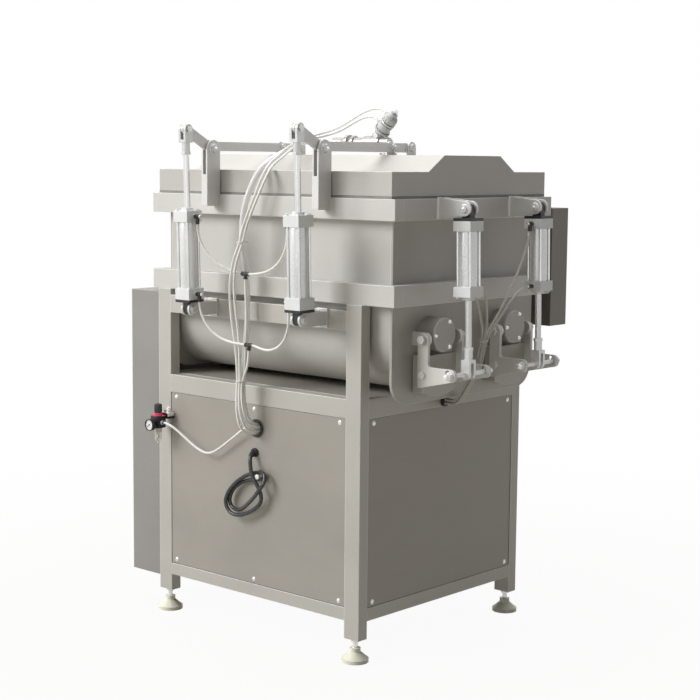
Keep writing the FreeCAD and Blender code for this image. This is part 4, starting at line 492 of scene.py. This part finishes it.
def curve(name, route, diameter=None, sides=8):
    """One smooth spline through the route's control points, with a round section if it has a diameter."""
    data = bpy.data.curves.new(name, "CURVE")
    data.dimensions = "3D"
    data.resolution_u = 10
    spline = data.splines.new("NURBS")
    spline.points.add(len(route) - 1)
    for point, place in zip(spline.points, route):
        point.co = (*(Vector(place) + ORIGIN), 1.0)
    spline.order_u = 3
    spline.use_endpoint_u = True
    if diameter:
        data.bevel_depth = diameter / 2
        data.bevel_resolution = sides
        data.use_fill_caps = True
    thing = bpy.data.objects.new(name, data)
    bpy.context.scene.collection.objects.link(thing)
    return thing


def line_of(name, route):
    """The points that a route's spline passes, read from the spline itself."""
    thing = curve(name, route)
    mesh = bpy.data.meshes.new_from_object(thing)
    points = [v.co.copy() for v in mesh.vertices]
    bpy.data.objects.remove(thing)
    bpy.data.meshes.remove(mesh)
    return points


def length_of(points):
    """The length of a line of points."""
    return sum((b - a).length for a, b in zip(points, points[1:]))


def hanging(name, node, route):
    """An air tube that rides on the base."""
    thing = curve(name, route, TUBE)
    thing.data.materials.append(MATERIALS["tube_plastic"])
    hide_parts(node)
    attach(thing, "base")
    path = line_of(name + "_line", route)
    Vector(route[0]) + ORIGIN
    length_of(path)


def crossing(name, node, route, diameter, material, start, finish=None):
    """A cord between a moving body and the base, as a tube mesh along the route's spline."""
    rounded = curve(name + "_curve", route, diameter)
    mesh = bpy.data.meshes.new_from_object(rounded)
    bpy.data.objects.remove(rounded)
    thing = bpy.data.objects.new(name, mesh)
    bpy.context.scene.collection.objects.link(thing)
    for face in mesh.polygons:
        face.use_smooth = True
    mesh.materials.clear()
    mesh.materials.append(MATERIALS[finish or material])
    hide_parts(node)
    path = line_of(name + "_line", route)
    Vector(start) + ORIGIN
    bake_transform(thing)
    Vector(route[0]) + ORIGIN
    length_of(path)


def cords():
    """Every hose, tube and cable."""
    cable = curve("power_cable_line", POWER_CABLE, CABLE)
    cable.data.materials.append(MATERIALS["cable_rubber"])
    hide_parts("power_cable", "power_coil")
    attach(cable, "base")
    length_of(line_of("cable_line", POWER_CABLE))
    crossing("vacuum_hose_tube", "vacuum_hose", VACUUM_HOSE, HOSE, "clear_hose", LID_HOLDS)
    for name, route in (("valve_tube_a", VALVE_TUBE_A), ("valve_tube_b", VALVE_TUBE_B)):
        crossing(name + "_tube", name, route, TUBE, "tube_plastic", LID_HOLDS)
    for name, route in (("trunk_tube_a", TRUNK_TUBE_A), ("trunk_tube_b", TRUNK_TUBE_B),
                        ("regulator_tube", REGULATOR_TUBE), ("lid_tube_a", LID_TUBE_A),
                        ("lid_tube_b", LID_TUBE_B), ("lid_tube_c", LID_TUBE_C), ("lid_tube_d", LID_TUBE_D)):
        hanging(name + "_line", name, route)
    for side, routes in (("near", (("upper", NEAR_UPPER), ("lower", NEAR_LOWER))),
                         ("far", (("upper", FAR_UPPER), ("lower", FAR_LOWER)))):
        for which, route in routes:
            start = route[0]
            finish = "door_braid" if (side, which) == ("far", "upper") else "door_tube"
            crossing(f"discharge_{side}_{which}", f"discharge_tubes_{side}", route, TUBE, "tube_plastic",
                     start, finish)


cords()


# Turned and many-sided pieces

TURNS = {
    "X": Matrix.Rotation(math.radians(90), 4, "Y"),
    "-X": Matrix.Rotation(math.radians(-90), 4, "Y"),
    "Y": Matrix.Rotation(math.radians(-90), 4, "X"),
    "-Y": Matrix.Rotation(math.radians(90), 4, "X"),
    "Z": Matrix.Identity(4),
    "-Z": Matrix.Rotation(math.radians(180), 4, "X"),
}


def facing(axis, x, y, z):
    """A place on the machine, in millimetres, with the local Z turned along an axis."""
    return Matrix.Translation(Vector((x, y, z)) / 1000 + ORIGIN) @ TURNS[axis]


def turned(form, profile, where, sides=32, rib=0.0):
    """Adds a form turned from a (radius, height) profile in millimetres; a rib notches every other side."""
    rings = []
    for radius, height in profile:
        count = sides if radius else 1
        ring = []
        for step in range(count):
            angle = 2 * math.pi * step / count
            reach = radius - rib * (step % 2)
            spot = Vector((reach * math.cos(angle), reach * math.sin(angle), height)) / 1000
            ring.append(form.verts.new(where @ spot))
        rings.append(ring)
    for low, high in zip(rings, rings[1:]):
        for step in range(sides):
            corners = [low[step % len(low)], low[(step + 1) % sides % len(low)],
                       high[(step + 1) % sides % len(high)], high[step % len(high)]]
            corners = list(dict.fromkeys(corners))
            if len(corners) > 2:
                form.faces.new(corners)


def block(form, size, where, edge=0.6):
    """Adds a rounded block of a size in millimetres, its middle at a place."""
    made = bmesh.ops.create_cube(form, size=1.0)["verts"]
    bmesh.ops.scale(form, verts=made, vec=Vector(size) / 1000)
    edges = list(dict.fromkeys(e for v in made for e in v.link_edges))
    rounded = bmesh.ops.bevel(form, geom=edges, offset=edge / 1000, segments=2, affect="EDGES", profile=0.5)
    spots = [v for f in rounded["faces"] for v in f.verts] + [v for v in made if v.is_valid]
    bmesh.ops.transform(form, matrix=where, verts=list(dict.fromkeys(spots)))


def piece(name, form, finish, body="base", stands_for=()):
    """Makes a form a piece with its finish and body, in the place of the CAD nodes it stands for."""
    bmesh.ops.recalc_face_normals(form, faces=form.faces)
    mesh = bpy.data.meshes.new(name)
    form.to_mesh(mesh)
    form.free()
    for face in mesh.polygons:
        face.use_smooth = True
    mesh.set_sharp_from_angle(angle=math.radians(32))
    mesh.materials.append(MATERIALS[finish])
    thing = bpy.data.objects.new(name, mesh)
    bpy.context.scene.collection.objects.link(thing)
    if stands_for:
        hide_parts(*stands_for)
    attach(thing, body)


def dome(radius, tall):
    """The profile of a domed cap nut with a flange at its foot."""
    return [(0, 0), (radius * 1.25, 0), (radius * 1.25, tall * 0.12), (radius, tall * 0.22),
            (radius, tall * 0.5), (radius * 0.92, tall * 0.72), (radius * 0.7, tall * 0.9),
            (radius * 0.38, tall * 0.98), (0, tall)]


def hexagon(radius, tall):
    """The profile of a six-sided head with a chamfered top; it is turned with six sides."""
    return [(0, 0), (radius, 0), (radius, tall * 0.78), (radius * 0.9, tall), (0, tall)]


# Regulator

REGULATOR_X = -458.5
REGULATOR_Y = -458.5
PORT_Z = 668
BRACKET_Y = -428
DIAL_STEPS = 20
DIAL_START = 225
DIAL_SWEEP = 270
NEEDLE_AT = 212


def regulator():
    """The ribbed knob, the red lock ring, the gauge, the clear bowl, the tube's fitting and the bracket."""
    upright = facing("Z", REGULATOR_X, REGULATOR_Y, 0)
    form = bmesh.new()
    turned(form, [(0, 700.3), (12.2, 700.3), (12.8, 701.5), (12.8, 703.5)], upright, 48)
    turned(form, [(12.8, 703.5), (13.5, 704.2), (13.2, 726.5), (12.2, 728.6)], upright, 48, 0.8)
    turned(form, [(12.2, 728.6), (10.5, 729.9), (8.8, 729.9), (8.2, 728.7), (0, 728.7)], upright, 48)
    piece("knob_ribbed", form, "black_fittings", "pressure_knob", ["regulator_knob"])
    form = bmesh.new()
    turned(form, [(0, 689.1), (19, 689.1), (19.6, 690), (19.6, 692.4), (18.6, 693.3), (16.2, 694.2),
                  (15.4, 699.2), (14.4, 700), (0, 700)], upright, 40)
    block(form, (16, 9, 3), facing("Z", REGULATOR_X + 19, REGULATOR_Y + 6, 691), 0.8)
    piece("lock_ring", form, "red_plastic", "base", ["regulator_ring"])
    gauge()
    bowl(upright)
    form = bmesh.new()
    turned(form, [(0, 0), (7.6, 0), (7.6, 6.5), (6.4, 7.8), (0, 7.8)],
           facing("X", -440.4, REGULATOR_Y, PORT_Z), 24)
    turned(form, [(0, 0), (5.6, 0), (4.6, 4), (3.0, 6)], facing("Y", REGULATOR_X + 14, -441, 704), 20)
    piece("push_fitting", form, "dial_white")
    form = bmesh.new()
    turned(form, [(0, 0), (7.3, 0), (7.3, 2.6), (5.8, 5), (4.3, 5)],
           facing("X", -432.6, REGULATOR_Y, PORT_Z), 24)
    piece("push_collet", form, "blue_collet")
    form = bmesh.new()
    block(form, (44, 30, 2.4), facing("Z", REGULATOR_X + 10, BRACKET_Y, 698.4), 0.5)
    block(form, (1.6, 30, 10), facing("Z", REGULATOR_X + 30.9, BRACKET_Y, 692.4), 0.4)
    turned(form, hexagon(6, 5), facing("-Y", REGULATOR_X + 2, -412.6, 708), 6)
    turned(form, [(0, 0), (8, 0), (8, 1.2), (0, 1.2)], facing("-Y", REGULATOR_X + 2, -412.4, 708), 24)
    piece("regulator_bracket", form, "screw_steel")
    form = bmesh.new()
    for side in (-1, 1):
        turned(form, [(0, 0), (8.5, 0), (8.5, 1.4), (6.2, 1.6), (5.6, 0.6), (0, 0.6)],
               facing("X" if side > 0 else "-X", REGULATOR_X + 18 * side, REGULATOR_Y, PORT_Z), 28)
    block(form, (30, 37, 5), facing("Z", REGULATOR_X, REGULATOR_Y, 686.5), 1.2)
    piece("regulator_trim", form, "black_fittings")


def gauge():
    """A round gauge that looks out of the machine's long side: case, dial, marks and needle."""
    out = facing("-Y", REGULATOR_X, -484.5, 662)
    form = bmesh.new()
    turned(form, [(0, 0), (15.5, 0), (20.4, 3), (20.4, 14.5), (20.0, 16.4), (19.2, 17.6), (18.4, 17.6),
                  (17.7, 16.2), (17.5, 13.6)], out, 48)
    turned(form, [(0, -8), (7.5, -8), (7.5, 0), (0, 0)], out, 6)
    piece("gauge_case", form, "black_fittings", "base", ["pressure_gauge"])
    form = bmesh.new()
    turned(form, [(17.6, 13.9), (17.2, 14.3), (0, 14.3)], out, 48)
    piece("gauge_dial", form, "dial_white")
    form = bmesh.new()
    for step in range(DIAL_STEPS + 1):
        angle = math.radians(DIAL_START - DIAL_SWEEP / DIAL_STEPS * step)
        long, wide = (3.2, 0.8) if step % 5 == 0 else (1.7, 0.45)
        middle = 15.6 - long / 2
        spot = Matrix.Translation(Vector((middle * math.cos(angle), middle * math.sin(angle), 14.5)) / 1000)
        block(form, (long, wide, 0.3), out @ spot @ Matrix.Rotation(angle, 4, "Z"), 0.08)
    needle = Matrix.Rotation(math.radians(NEEDLE_AT), 4, "Z") @ Matrix.Translation((0.0045, 0.0, 0.0151))
    block(form, (15.5, 1.3, 0.5), out @ needle, 0.2)
    turned(form, [(0, 14.4), (2.3, 14.4), (2.3, 15.8), (1.6, 16.2), (0, 16.2)], out, 24)
    piece("gauge_marks", form, "dial_black")


def bowl(upright):
    """The filter's pale collar, its clear bowl with a baffle inside, and the drain at its foot."""
    form = bmesh.new()
    turned(form, [(0, 649), (13.2, 649), (13.2, 645), (12.4, 644), (12.4, 634), (11.6, 632.4), (0, 632.4)],
           upright, 36)
    turned(form, [(0, 632.4), (4.2, 632.4), (4.2, 618), (7.2, 616.8), (7.2, 615), (2.4, 613.5), (0, 613.5)],
           upright, 24)
    turned(form, [(0, 601), (3.4, 601), (3.4, 595), (2.2, 592.6), (0, 592.6)], upright, 20)
    piece("bowl_collar", form, "tie_white")
    form = bmesh.new()
    turned(form, [(11.2, 632.4), (11.2, 610), (10.4, 605), (8.4, 601.6), (5.2, 600), (0, 599.6)], upright, 36)
    piece("bowl_clear", form, "clear_plastic", "base", ["filter_bowl"])


regulator()


# Air cylinders

LIFT_XS = (-228.5, 266.5)
LIFT_TILT = math.radians(1.632)
FOOT_PIN = (-520.5, 1075)
CLEVIS_PIN = (-537, 1654)
LID_PIVOT = (-426, 1593)
DOOR_Y = 183
DOOR_PIN_X = 646
DOOR_PIN_Z = 1417
BAR_X = 657
BAR_Z = 915
BAR_HALF = 101.8
DOOR_TILT = math.atan2(BAR_X - DOOR_PIN_X, DOOR_PIN_Z - BAR_Z)
TIE_ROD_OUT = 23.2
LIFT_TUBE = (68, 283)
DOOR_TUBE = (68, 236)


def lift_frame(x):
    """The frame of a lid cylinder: its foot pin, with the barrel along local Z."""
    foot = Vector((x, *FOOT_PIN)) / 1000 + ORIGIN
    return Matrix.Translation(foot) @ Matrix.Rotation(LIFT_TILT, 4, "X")


def door_frame(y):
    """The frame of a door cylinder: its upper pin, with the barrel down local Z and the bar along local X."""
    along = Vector((math.sin(DOOR_TILT), 0.0, -math.cos(DOOR_TILT)))
    across = Vector((0.0, 1.0, 0.0))
    turn = Matrix((across, along.cross(across), along)).transposed()
    return Matrix.Translation(Vector((DOOR_PIN_X, y, DOOR_PIN_Z)) / 1000 + ORIGIN) @ turn.to_4x4()


def shift(where, x, y, z):
    """A frame moved by a step along its own axes, in millimetres."""
    return where @ Matrix.Translation(Vector((x, y, z)) / 1000)


def barrel_skin(form, where, low, high):
    """The drawn tube between a cylinder's two caps."""
    turned(form, [(28.0, low), (28.3, low + 1), (28.3, high - 1), (28.0, high)], where, 56)


def corners(where, z):
    """The places of the four tie rods at a height on a cylinder's frame."""
    return [shift(where, x, y, z) for x in (-TIE_ROD_OUT, TIE_ROD_OUT) for y in (-TIE_ROD_OUT, TIE_ROD_OUT)]


def rod_skin(form, where, low, high):
    """The four tie rods between the caps."""
    for place in corners(where, 0):
        turned(form, [(4.1, low), (4.2, low + 0.5), (4.2, high - 0.5), (4.1, high)], place, 16)


def fitting(steel, collet, where, hand, z, drop):
    """The bright hex ends of an elbow and, where a tube port shows, its pale release ring."""
    out = Matrix.Rotation(math.radians(90 * hand), 4, "Y")
    turned(steel, hexagon(6.2, 5), shift(where, 56.4 * hand, 0, z) @ out, 6)
    turned(steel, [(0, 0), (8.2, 0), (8.2, 2.4), (0, 2.4)], shift(where, 32.4 * hand, 0, z) @ out, 6)
    if drop:
        port = shift(where, 46.5 * hand, 0, z + 23 * drop) @ TURNS["-Z" if drop < 0 else "Z"]
        turned(collet, [(4.8, 0), (5.5, 0.3), (5.5, 2.2), (4.8, 2.8)], port, 20)


def cylinders():
    """Tubes, tie rods, nuts and fittings of the four air cylinders."""
    tube, rods, steel, collet, bolts = (bmesh.new() for _ in range(5))
    for x, hand in zip(LIFT_XS, (1, -1)):
        where = lift_frame(x)
        barrel_skin(tube, where, *LIFT_TUBE)
        rod_skin(rods, where, *LIFT_TUBE)
        for z in (50, 301):
            fitting(steel, collet, where, hand, z, -1)
        for place in corners(where, LIFT_TUBE[0]):
            turned(bolts, [(0, 0), (5.2, 0), (5.2, 1.6), (3.2, 1.6), (3.2, 0.3), (0, 0.3)], place, 20)
    piece("lift_tubes", tube, "barrel_tube", "lift_barrels")
    piece("lift_tie_rods", rods, "tie_steel", "lift_barrels")
    piece("lift_tie_nuts", bolts, "screw_steel", "lift_barrels")
    piece("lift_fitting_ends", steel, "screw_steel", "lift_barrels")
    piece("lift_fitting_rings", collet, "tie_white", "lift_barrels")
    for side, name in ((-1, "near"), (1, "far")):
        where = door_frame(DOOR_Y * side)
        tube, rods, steel, collet = (bmesh.new() for _ in range(4))
        barrel_skin(tube, where, *DOOR_TUBE)
        rod_skin(rods, where, *DOOR_TUBE)
        fitting(steel, collet, where, -side, 52.5, 1)
        fitting(steel, collet, where, -side, 251.5, 0)
        piece(f"{name}_door_tube", tube, "barrel_tube", f"{name}_barrel")
        piece(f"{name}_door_tie_rods", rods, "tie_steel", f"{name}_barrel")
        piece(f"{name}_door_fitting_ends", steel, "screw_steel", f"{name}_barrel")
        piece(f"{name}_door_fitting_rings", collet, "tie_white", f"{name}_barrel")
        bar_ends(side, name)


def bar_ends(side, name):
    """The domed cap nuts on the ends of a cross bar."""
    form = bmesh.new()
    for hand in (-1, 1):
        y = DOOR_Y * side + BAR_HALF * hand
        turned(form, dome(8.6, 13.4), facing("Y" if hand > 0 else "-Y", BAR_X, y, BAR_Z), 28)
    piece(f"{name}_bar_caps", form, "screw_steel", f"{name}_rod")


cylinders()


# Tees and ties on the hose bundle

def tee(form, collets, x, y, z):
    """A push-in tee: a run along X with a branch down, and a pale ring at each port."""
    body = [(0, 0), (6.6, 0), (7.0, 0.8), (7.0, 5.2), (5.6, 6.2), (5.6, 13), (0, 13)]
    ring = [(4.2, 0), (5.2, 0.3), (5.2, 1.8), (4.2, 2.3)]
    for axis, out, down in (("X", -16, 0), ("-X", 16, 0), ("Z", 0, -16.8)):
        turned(form, body, facing(axis, x + out, y, z + down), 24)
    for axis, out, down in (("-X", -15.8, 0), ("X", 15.8, 0), ("-Z", 0, -16.6)):
        turned(collets, ring, facing(axis, x + out, y, z + down), 20)
    block(form, (13, 12.4, 13), facing("Z", x, y, z), 2.5)


def tie(form, x, y, z, reach, tilt=0.0):
    """A cable tie round a bundle: a thin round band, its square head and a short tail."""
    where = facing("Z", x, y, z) @ Matrix.Rotation(tilt, 4, "Y") @ Matrix.Diagonal((reach, reach, 1.0, 1.0))
    turned(form, [(0.93, -2.3), (1.0, -1.8), (1.0, 1.8), (0.93, 2.3)], where, 40)
    turned(form, [(0.93, 2.3), (0.88, 1.8), (0.88, -1.8), (0.93, -2.3)], where, 40)
    head_x, head_y = x + reach * 0.55, y - reach * 0.86
    block(form, (6.0, 4.4, 6.0), facing("Z", head_x, head_y, z), 0.9)
    block(form, (2.2, 11, 3.6), facing("Z", head_x + 2, head_y - 6, z - 0.5), 0.5)


def bundle_fittings():
    """The two tees and the three ties of the tube bundles."""
    tees, collets, ties = bmesh.new(), bmesh.new(), bmesh.new()
    tee(tees, collets, -26, -466, 1197)
    tee(tees, collets, 16, -492, 974)
    tie(ties, -44, -463, 1297, 18.5)
    tie(ties, -41, -468, 851, 18.5)
    tie(ties, 608.9, -43.2, 1000, 12.9, math.radians(-10))
    piece("tube_tees", tees, "black_fittings", "base", ["tube_fittings"])
    piece("tee_rings", collets, "tie_white")
    piece("tube_ties", ties, "tie_white")


bundle_fittings()


# Fasteners and rubber

HOSE_GROMMET = (-29.5, -410.4, 691.5)
CABLE_GROMMET = (-36, -410.4, 611)
HOOK_TIP = (9, -444.4, 541)
SLEEVE_SIDES = 24


def fasteners():
    """Screw tips, washers and caps that stand on the CAD bolts, plates and covers."""
    form = bmesh.new()
    for x in LIFT_XS:
        turned(form, dome(5.6, 5.0), facing("X", x + 24.8, *LID_PIVOT), 24)
        turned(form, [(0, 0), (17.5, 0), (17.5, 1.0), (16.5, 1.6), (0, 1.6)],
               facing("-X", x - 13, *LID_PIVOT), 32)
    piece("lever_caps", form, "screw_steel")
    form = bmesh.new()
    for x in LIFT_XS:
        for out, radius, thick in ((20, 9.5, 1.2), (21.4, 6.4, 0.8)):
            turned(form, [(0, 0), (radius, 0), (radius, thick), (0, thick)],
                   facing("X", x + out, *CLEVIS_PIN), 28)
    piece("clevis_caps", form, "screw_steel", "lift_rods")
    form = bmesh.new()
    for side in (-1, 1):
        turned(form, dome(4.2, 3.6), facing("-Y", DOOR_PIN_X, DOOR_Y * side - 27, DOOR_PIN_Z), 24)
    piece("fork_caps", form, "screw_steel")


def sleeve(name, route, start, end, wide, narrow):
    """A ribbed rubber sleeve that tapers along a cord, from one length along its spline to another."""
    line = line_of(name + "_line", route)
    walked, spots = 0.0, []
    for spot, after in zip(line, line[1:]):
        if start <= walked <= end:
            spots.append((spot, (after - spot).normalized(), (walked - start) / (end - start)))
        walked += (after - spot).length
    form = bmesh.new()
    angles = [2 * math.pi * step / SLEEVE_SIDES for step in range(SLEEVE_SIDES)]
    rings = []
    for index, (spot, way, share) in enumerate(spots):
        turn = way.to_track_quat("Z", "Y").to_matrix()
        reach = wide + (narrow - wide) * share + (0.0006 if index % 2 else 0.0)
        rings.append([form.verts.new(spot + turn @ Vector((reach * math.cos(a), reach * math.sin(a), 0.0)))
                      for a in angles])
    for low, high in zip(rings, rings[1:]):
        for step in range(SLEEVE_SIDES):
            after = (step + 1) % SLEEVE_SIDES
            form.faces.new((low[step], low[after], high[after], high[step]))
    for ring in (rings[0], rings[-1]):
        form.faces.new(ring)
    piece(name, form, "grommet_rubber")


def rubber():
    """The cable's strain relief, the raised rims of two grommets and the head of the cable hook."""
    sleeve("cable_relief", POWER_CABLE, 0.004, 0.036, 0.0108, 0.0072)
    form = bmesh.new()
    turned(form, [(27, 0), (29, 0.6), (30.5, 2.6), (29.5, 4.6), (26.5, 5.6), (23.5, 4.6), (22.6, 2.4)],
           facing("-Y", *HOSE_GROMMET), 48)
    turned(form, [(12, 0), (14.4, 0.5), (15.2, 2.2), (14.4, 4.2), (12.4, 5.0), (10.6, 4.0), (10, 2)],
           facing("-Y", *CABLE_GROMMET), 36)
    piece("grommet_rims", form, "grommet_rubber")
    form = bmesh.new()
    turned(form, [(0, 0), (5.0, 0), (8.0, 1.4), (8.4, 2.6), (7.6, 4.2), (4.8, 5.2), (0, 5.6)],
           facing("-Y", *HOOK_TIP), 28)
    piece("hook_head", form, "screw_steel")


fasteners()
rubber()


# Panels

PANEL_LEFT = -443.7
PANEL_RIGHT = 360.7
PANEL_HALF = 371.7
PANEL_LOW = 171.8
PANEL_HIGH = 768.2
SIDE_FACE = 410.5
END_FACE = 419.5
# Width of the dark strips that paint the gap shadow round the panels
GAP_SHADOW_WIDTH = 1.5
SCREW_XS = (-418.5, -41.5, 335.5)
SCREW_YS = (-346.5, 346.5)
SCREW_ZS = (187, 753)


def gap_shadow(form, axis, across_low, across_high, out):
    """A thin dark strip round a sheet panel, where it meets the frame: painted shadow of the narrow gap there.
    """
    middle = (across_low + across_high) / 2
    wide = across_high - across_low
    tall = PANEL_HIGH - PANEL_LOW
    centre = (PANEL_HIGH + PANEL_LOW) / 2
    for spot, z, long, high in ((middle, PANEL_LOW, wide, GAP_SHADOW_WIDTH), (middle, PANEL_HIGH, wide, GAP_SHADOW_WIDTH),
                                (across_low, centre, GAP_SHADOW_WIDTH, tall), (across_high, centre, GAP_SHADOW_WIDTH, tall)):
        if axis == "Y":
            block(form, (long, 0.8, high), facing("Z", spot, out, z), 0.15)
        else:
            block(form, (0.8, long, high), facing("Z", out, spot, z), 0.15)


def panel_screw(form, axis, x, y, z):
    """A panel screw's washer and its domed head."""
    turned(form, [(0, 0), (7.6, 0), (7.6, 0.7), (6.9, 1.1), (5.5, 1.1), (5.4, 2.4), (4.4, 3.4), (2.4, 3.9),
                  (0, 4.0)], facing(axis, x, y, z), 28)


def panels():
    """The painted gap shadows round the side and end panels, and the heads of their screws."""
    form = bmesh.new()
    for side in (-1, 1):
        gap_shadow(form, "Y", PANEL_LEFT, PANEL_RIGHT, SIDE_FACE * side)
    gap_shadow(form, "X", -PANEL_HALF, PANEL_HALF, END_FACE)
    piece("panel_gap_shadows", form, "painted_gap_shadow")
    form = bmesh.new()
    for z in SCREW_ZS:
        for x in SCREW_XS:
            panel_screw(form, "-Y", x, -SIDE_FACE, z)
            panel_screw(form, "Y", x, SIDE_FACE, z)
        for y in SCREW_YS:
            panel_screw(form, "X", END_FACE, y, z)
    piece("panel_screw_heads", form, "screw_steel")


panels()


# Valve

VALVE_AT = (103, 0, 1621)
VALVE_TILT = math.radians(45)
VALVE_RIBS = 12


def valve():
    """The vacuum valve's hex bonnet, its clamp rings with black bands beside them that paint the shade of
    grooves, and its pale ribs.
    """
    where = facing("Z", *VALVE_AT) @ Matrix.Rotation(VALVE_TILT, 4, "Y")
    steel, dark, pale = bmesh.new(), bmesh.new(), bmesh.new()
    turned(steel, [(0, 24), (21, 24), (21, 36), (19.5, 38), (0, 38)], where, 6)
    for low, high in ((50.5, 55), (84, 90)):
        turned(steel, [(22, low), (24.6, low), (25, low + 0.6), (25, high - 0.6), (24.6, high), (22, high)],
               where, 40)
    # Black bands beside the clamp rings: painted shade of the grooves there
    for low in (56.2, 81.2, 91.2):
        turned(dark, [(22.6, low), (23.5, low), (23.5, low + 2.0), (22.6, low + 2.0)], where, 40)
    for step in range(VALVE_RIBS):
        turn = Matrix.Rotation(2 * math.pi * step / VALVE_RIBS, 4, "Z")
        block(pale, (1.8, 3.0, 12), where @ turn @ Matrix.Translation((0.0232, 0.0, 0.1)), 0.5)
    piece("valve_rings", steel, "fork_zinc")
    piece("valve_groove_shade", dark, "dial_black")
    piece("valve_ribs", pale, "white_plastic")


valve()


# Light and floor

FLOOR_REACH = 30.0
FLOOR_LIGHT = (0.41, 0.375, 0.32)
FLOOR_DARK = (0.38, 0.348, 0.295)
FLOOR_WHITE = 0.95
SHADOW_NEAR = 0.9
SHADOW_FAR = 3.2
ROOM_BRIGHT_SIDE = (-0.85, 0.2, 0.36)
ROOM_DIM_AT = -0.36
ROOM_BRIGHT_AT = 0.8
ROOM_DIM = 0.01
ROOM_BRIGHT = 0.9


def lamp(name, place, target, wide, tall, power):
    """A soft rectangular lamp that looks at a target."""
    data = bpy.data.lights.new(name, "AREA")
    data.shape = "RECTANGLE"
    data.size = wide
    data.size_y = tall
    data.energy = power
    thing = bpy.data.objects.new(name, data)
    thing.location = place
    thing.rotation_mode = "QUATERNION"
    thing.rotation_quaternion = (Vector(target) - Vector(place)).to_track_quat("-Z", "Y")
    bpy.context.scene.collection.objects.link(thing)


def background_rays(tree):
    """1 for rays that show a white background: the camera's, and those that metal and glass send on."""
    rays = add(tree, "ShaderNodeLightPath").outputs
    mirrored = add(tree, "ShaderNodeMath", {0: rays["Is Glossy Ray"], 1: rays["Is Transmission Ray"]},
                   operation="MAXIMUM").outputs[0]
    return add(tree, "ShaderNodeMath", {0: rays["Is Camera Ray"], 1: mirrored}, operation="MAXIMUM").outputs[0]


def floor():
    """A plain floor, white to the eye and in metal and glass, with the machine's own soft shadow on it."""
    mesh = bpy.data.meshes.new("floor")
    form = bmesh.new()
    bmesh.ops.create_grid(form, x_segments=1, y_segments=1, size=FLOOR_REACH)
    form.to_mesh(mesh)
    form.free()
    material, tree, shader = new_material("floor_white", 0.9)
    tree.links.new(blend_colour(tree, noise(tree, 0.6), FLOOR_LIGHT, FLOOR_DARK), shader.inputs["Base Color"])
    seen = background_rays(tree)
    place = add(tree, "ShaderNodeTexCoord")
    away = add(tree, "ShaderNodeVectorMath", {0: place.outputs["Object"]}, operation="LENGTH")
    white = remap(tree, away.outputs["Value"], SHADOW_NEAR, SHADOW_FAR, FLOOR_WHITE, 1.0)
    share = add(tree, "ShaderNodeMath", {0: seen, 1: white}, operation="MULTIPLY").outputs[0]
    glow = add(tree, "ShaderNodeEmission", {"Color": (1.0, 1.0, 1.0, 1.0), "Strength": 1.0})
    mix = add(tree, "ShaderNodeMixShader", {0: share, 1: shader.outputs[0], 2: glow.outputs[0]})
    tree.links.new(mix.outputs[0], tree.nodes["Material Output"].inputs["Surface"])
    mesh.materials.append(material)
    thing = bpy.data.objects.new("floor", mesh)
    bpy.context.scene.collection.objects.link(thing)


def sky():
    """A soft room: white to the eye and in metal and glass.

    As light on matt surfaces it is bright from the left and above, and dim from the right.
    """
    world = bpy.data.worlds.new("room")
    bpy.context.scene.world = world
    world.use_nodes = True
    tree = world.node_tree
    background = tree.nodes["Background"]
    seen = background_rays(tree)
    place = add(tree, "ShaderNodeTexCoord")
    side = add(tree, "ShaderNodeVectorMath", {0: place.outputs["Generated"], 1: ROOM_BRIGHT_SIDE},
               operation="DOT_PRODUCT").outputs["Value"]
    level = remap(tree, side, ROOM_DIM_AT, ROOM_BRIGHT_AT, ROOM_DIM, ROOM_BRIGHT)
    background.inputs["Color"].default_value = (1.0, 1.0, 1.0, 1.0)
    tree.links.new(remap(tree, seen, 0.0, 1.0, level, 1.0), background.inputs["Strength"])


bpy.context.scene.view_settings.view_transform = "Standard"
floor()
sky()
lamp("strip", place=(1.7, -5.2, 1.9), target=(0.0, 0.0, 1.1), wide=0.5, tall=3.2, power=8.0)
lamp("key", place=(-3.9, -6.3, 4.9), target=(0.0, 0.0, 1.0), wide=3.9, tall=3.9, power=468.0)
lamp("top", place=(-0.4, 0.2, 4.6), target=(0.0, 0.0, 1.0), wide=3.0, tall=3.0, power=92.0)
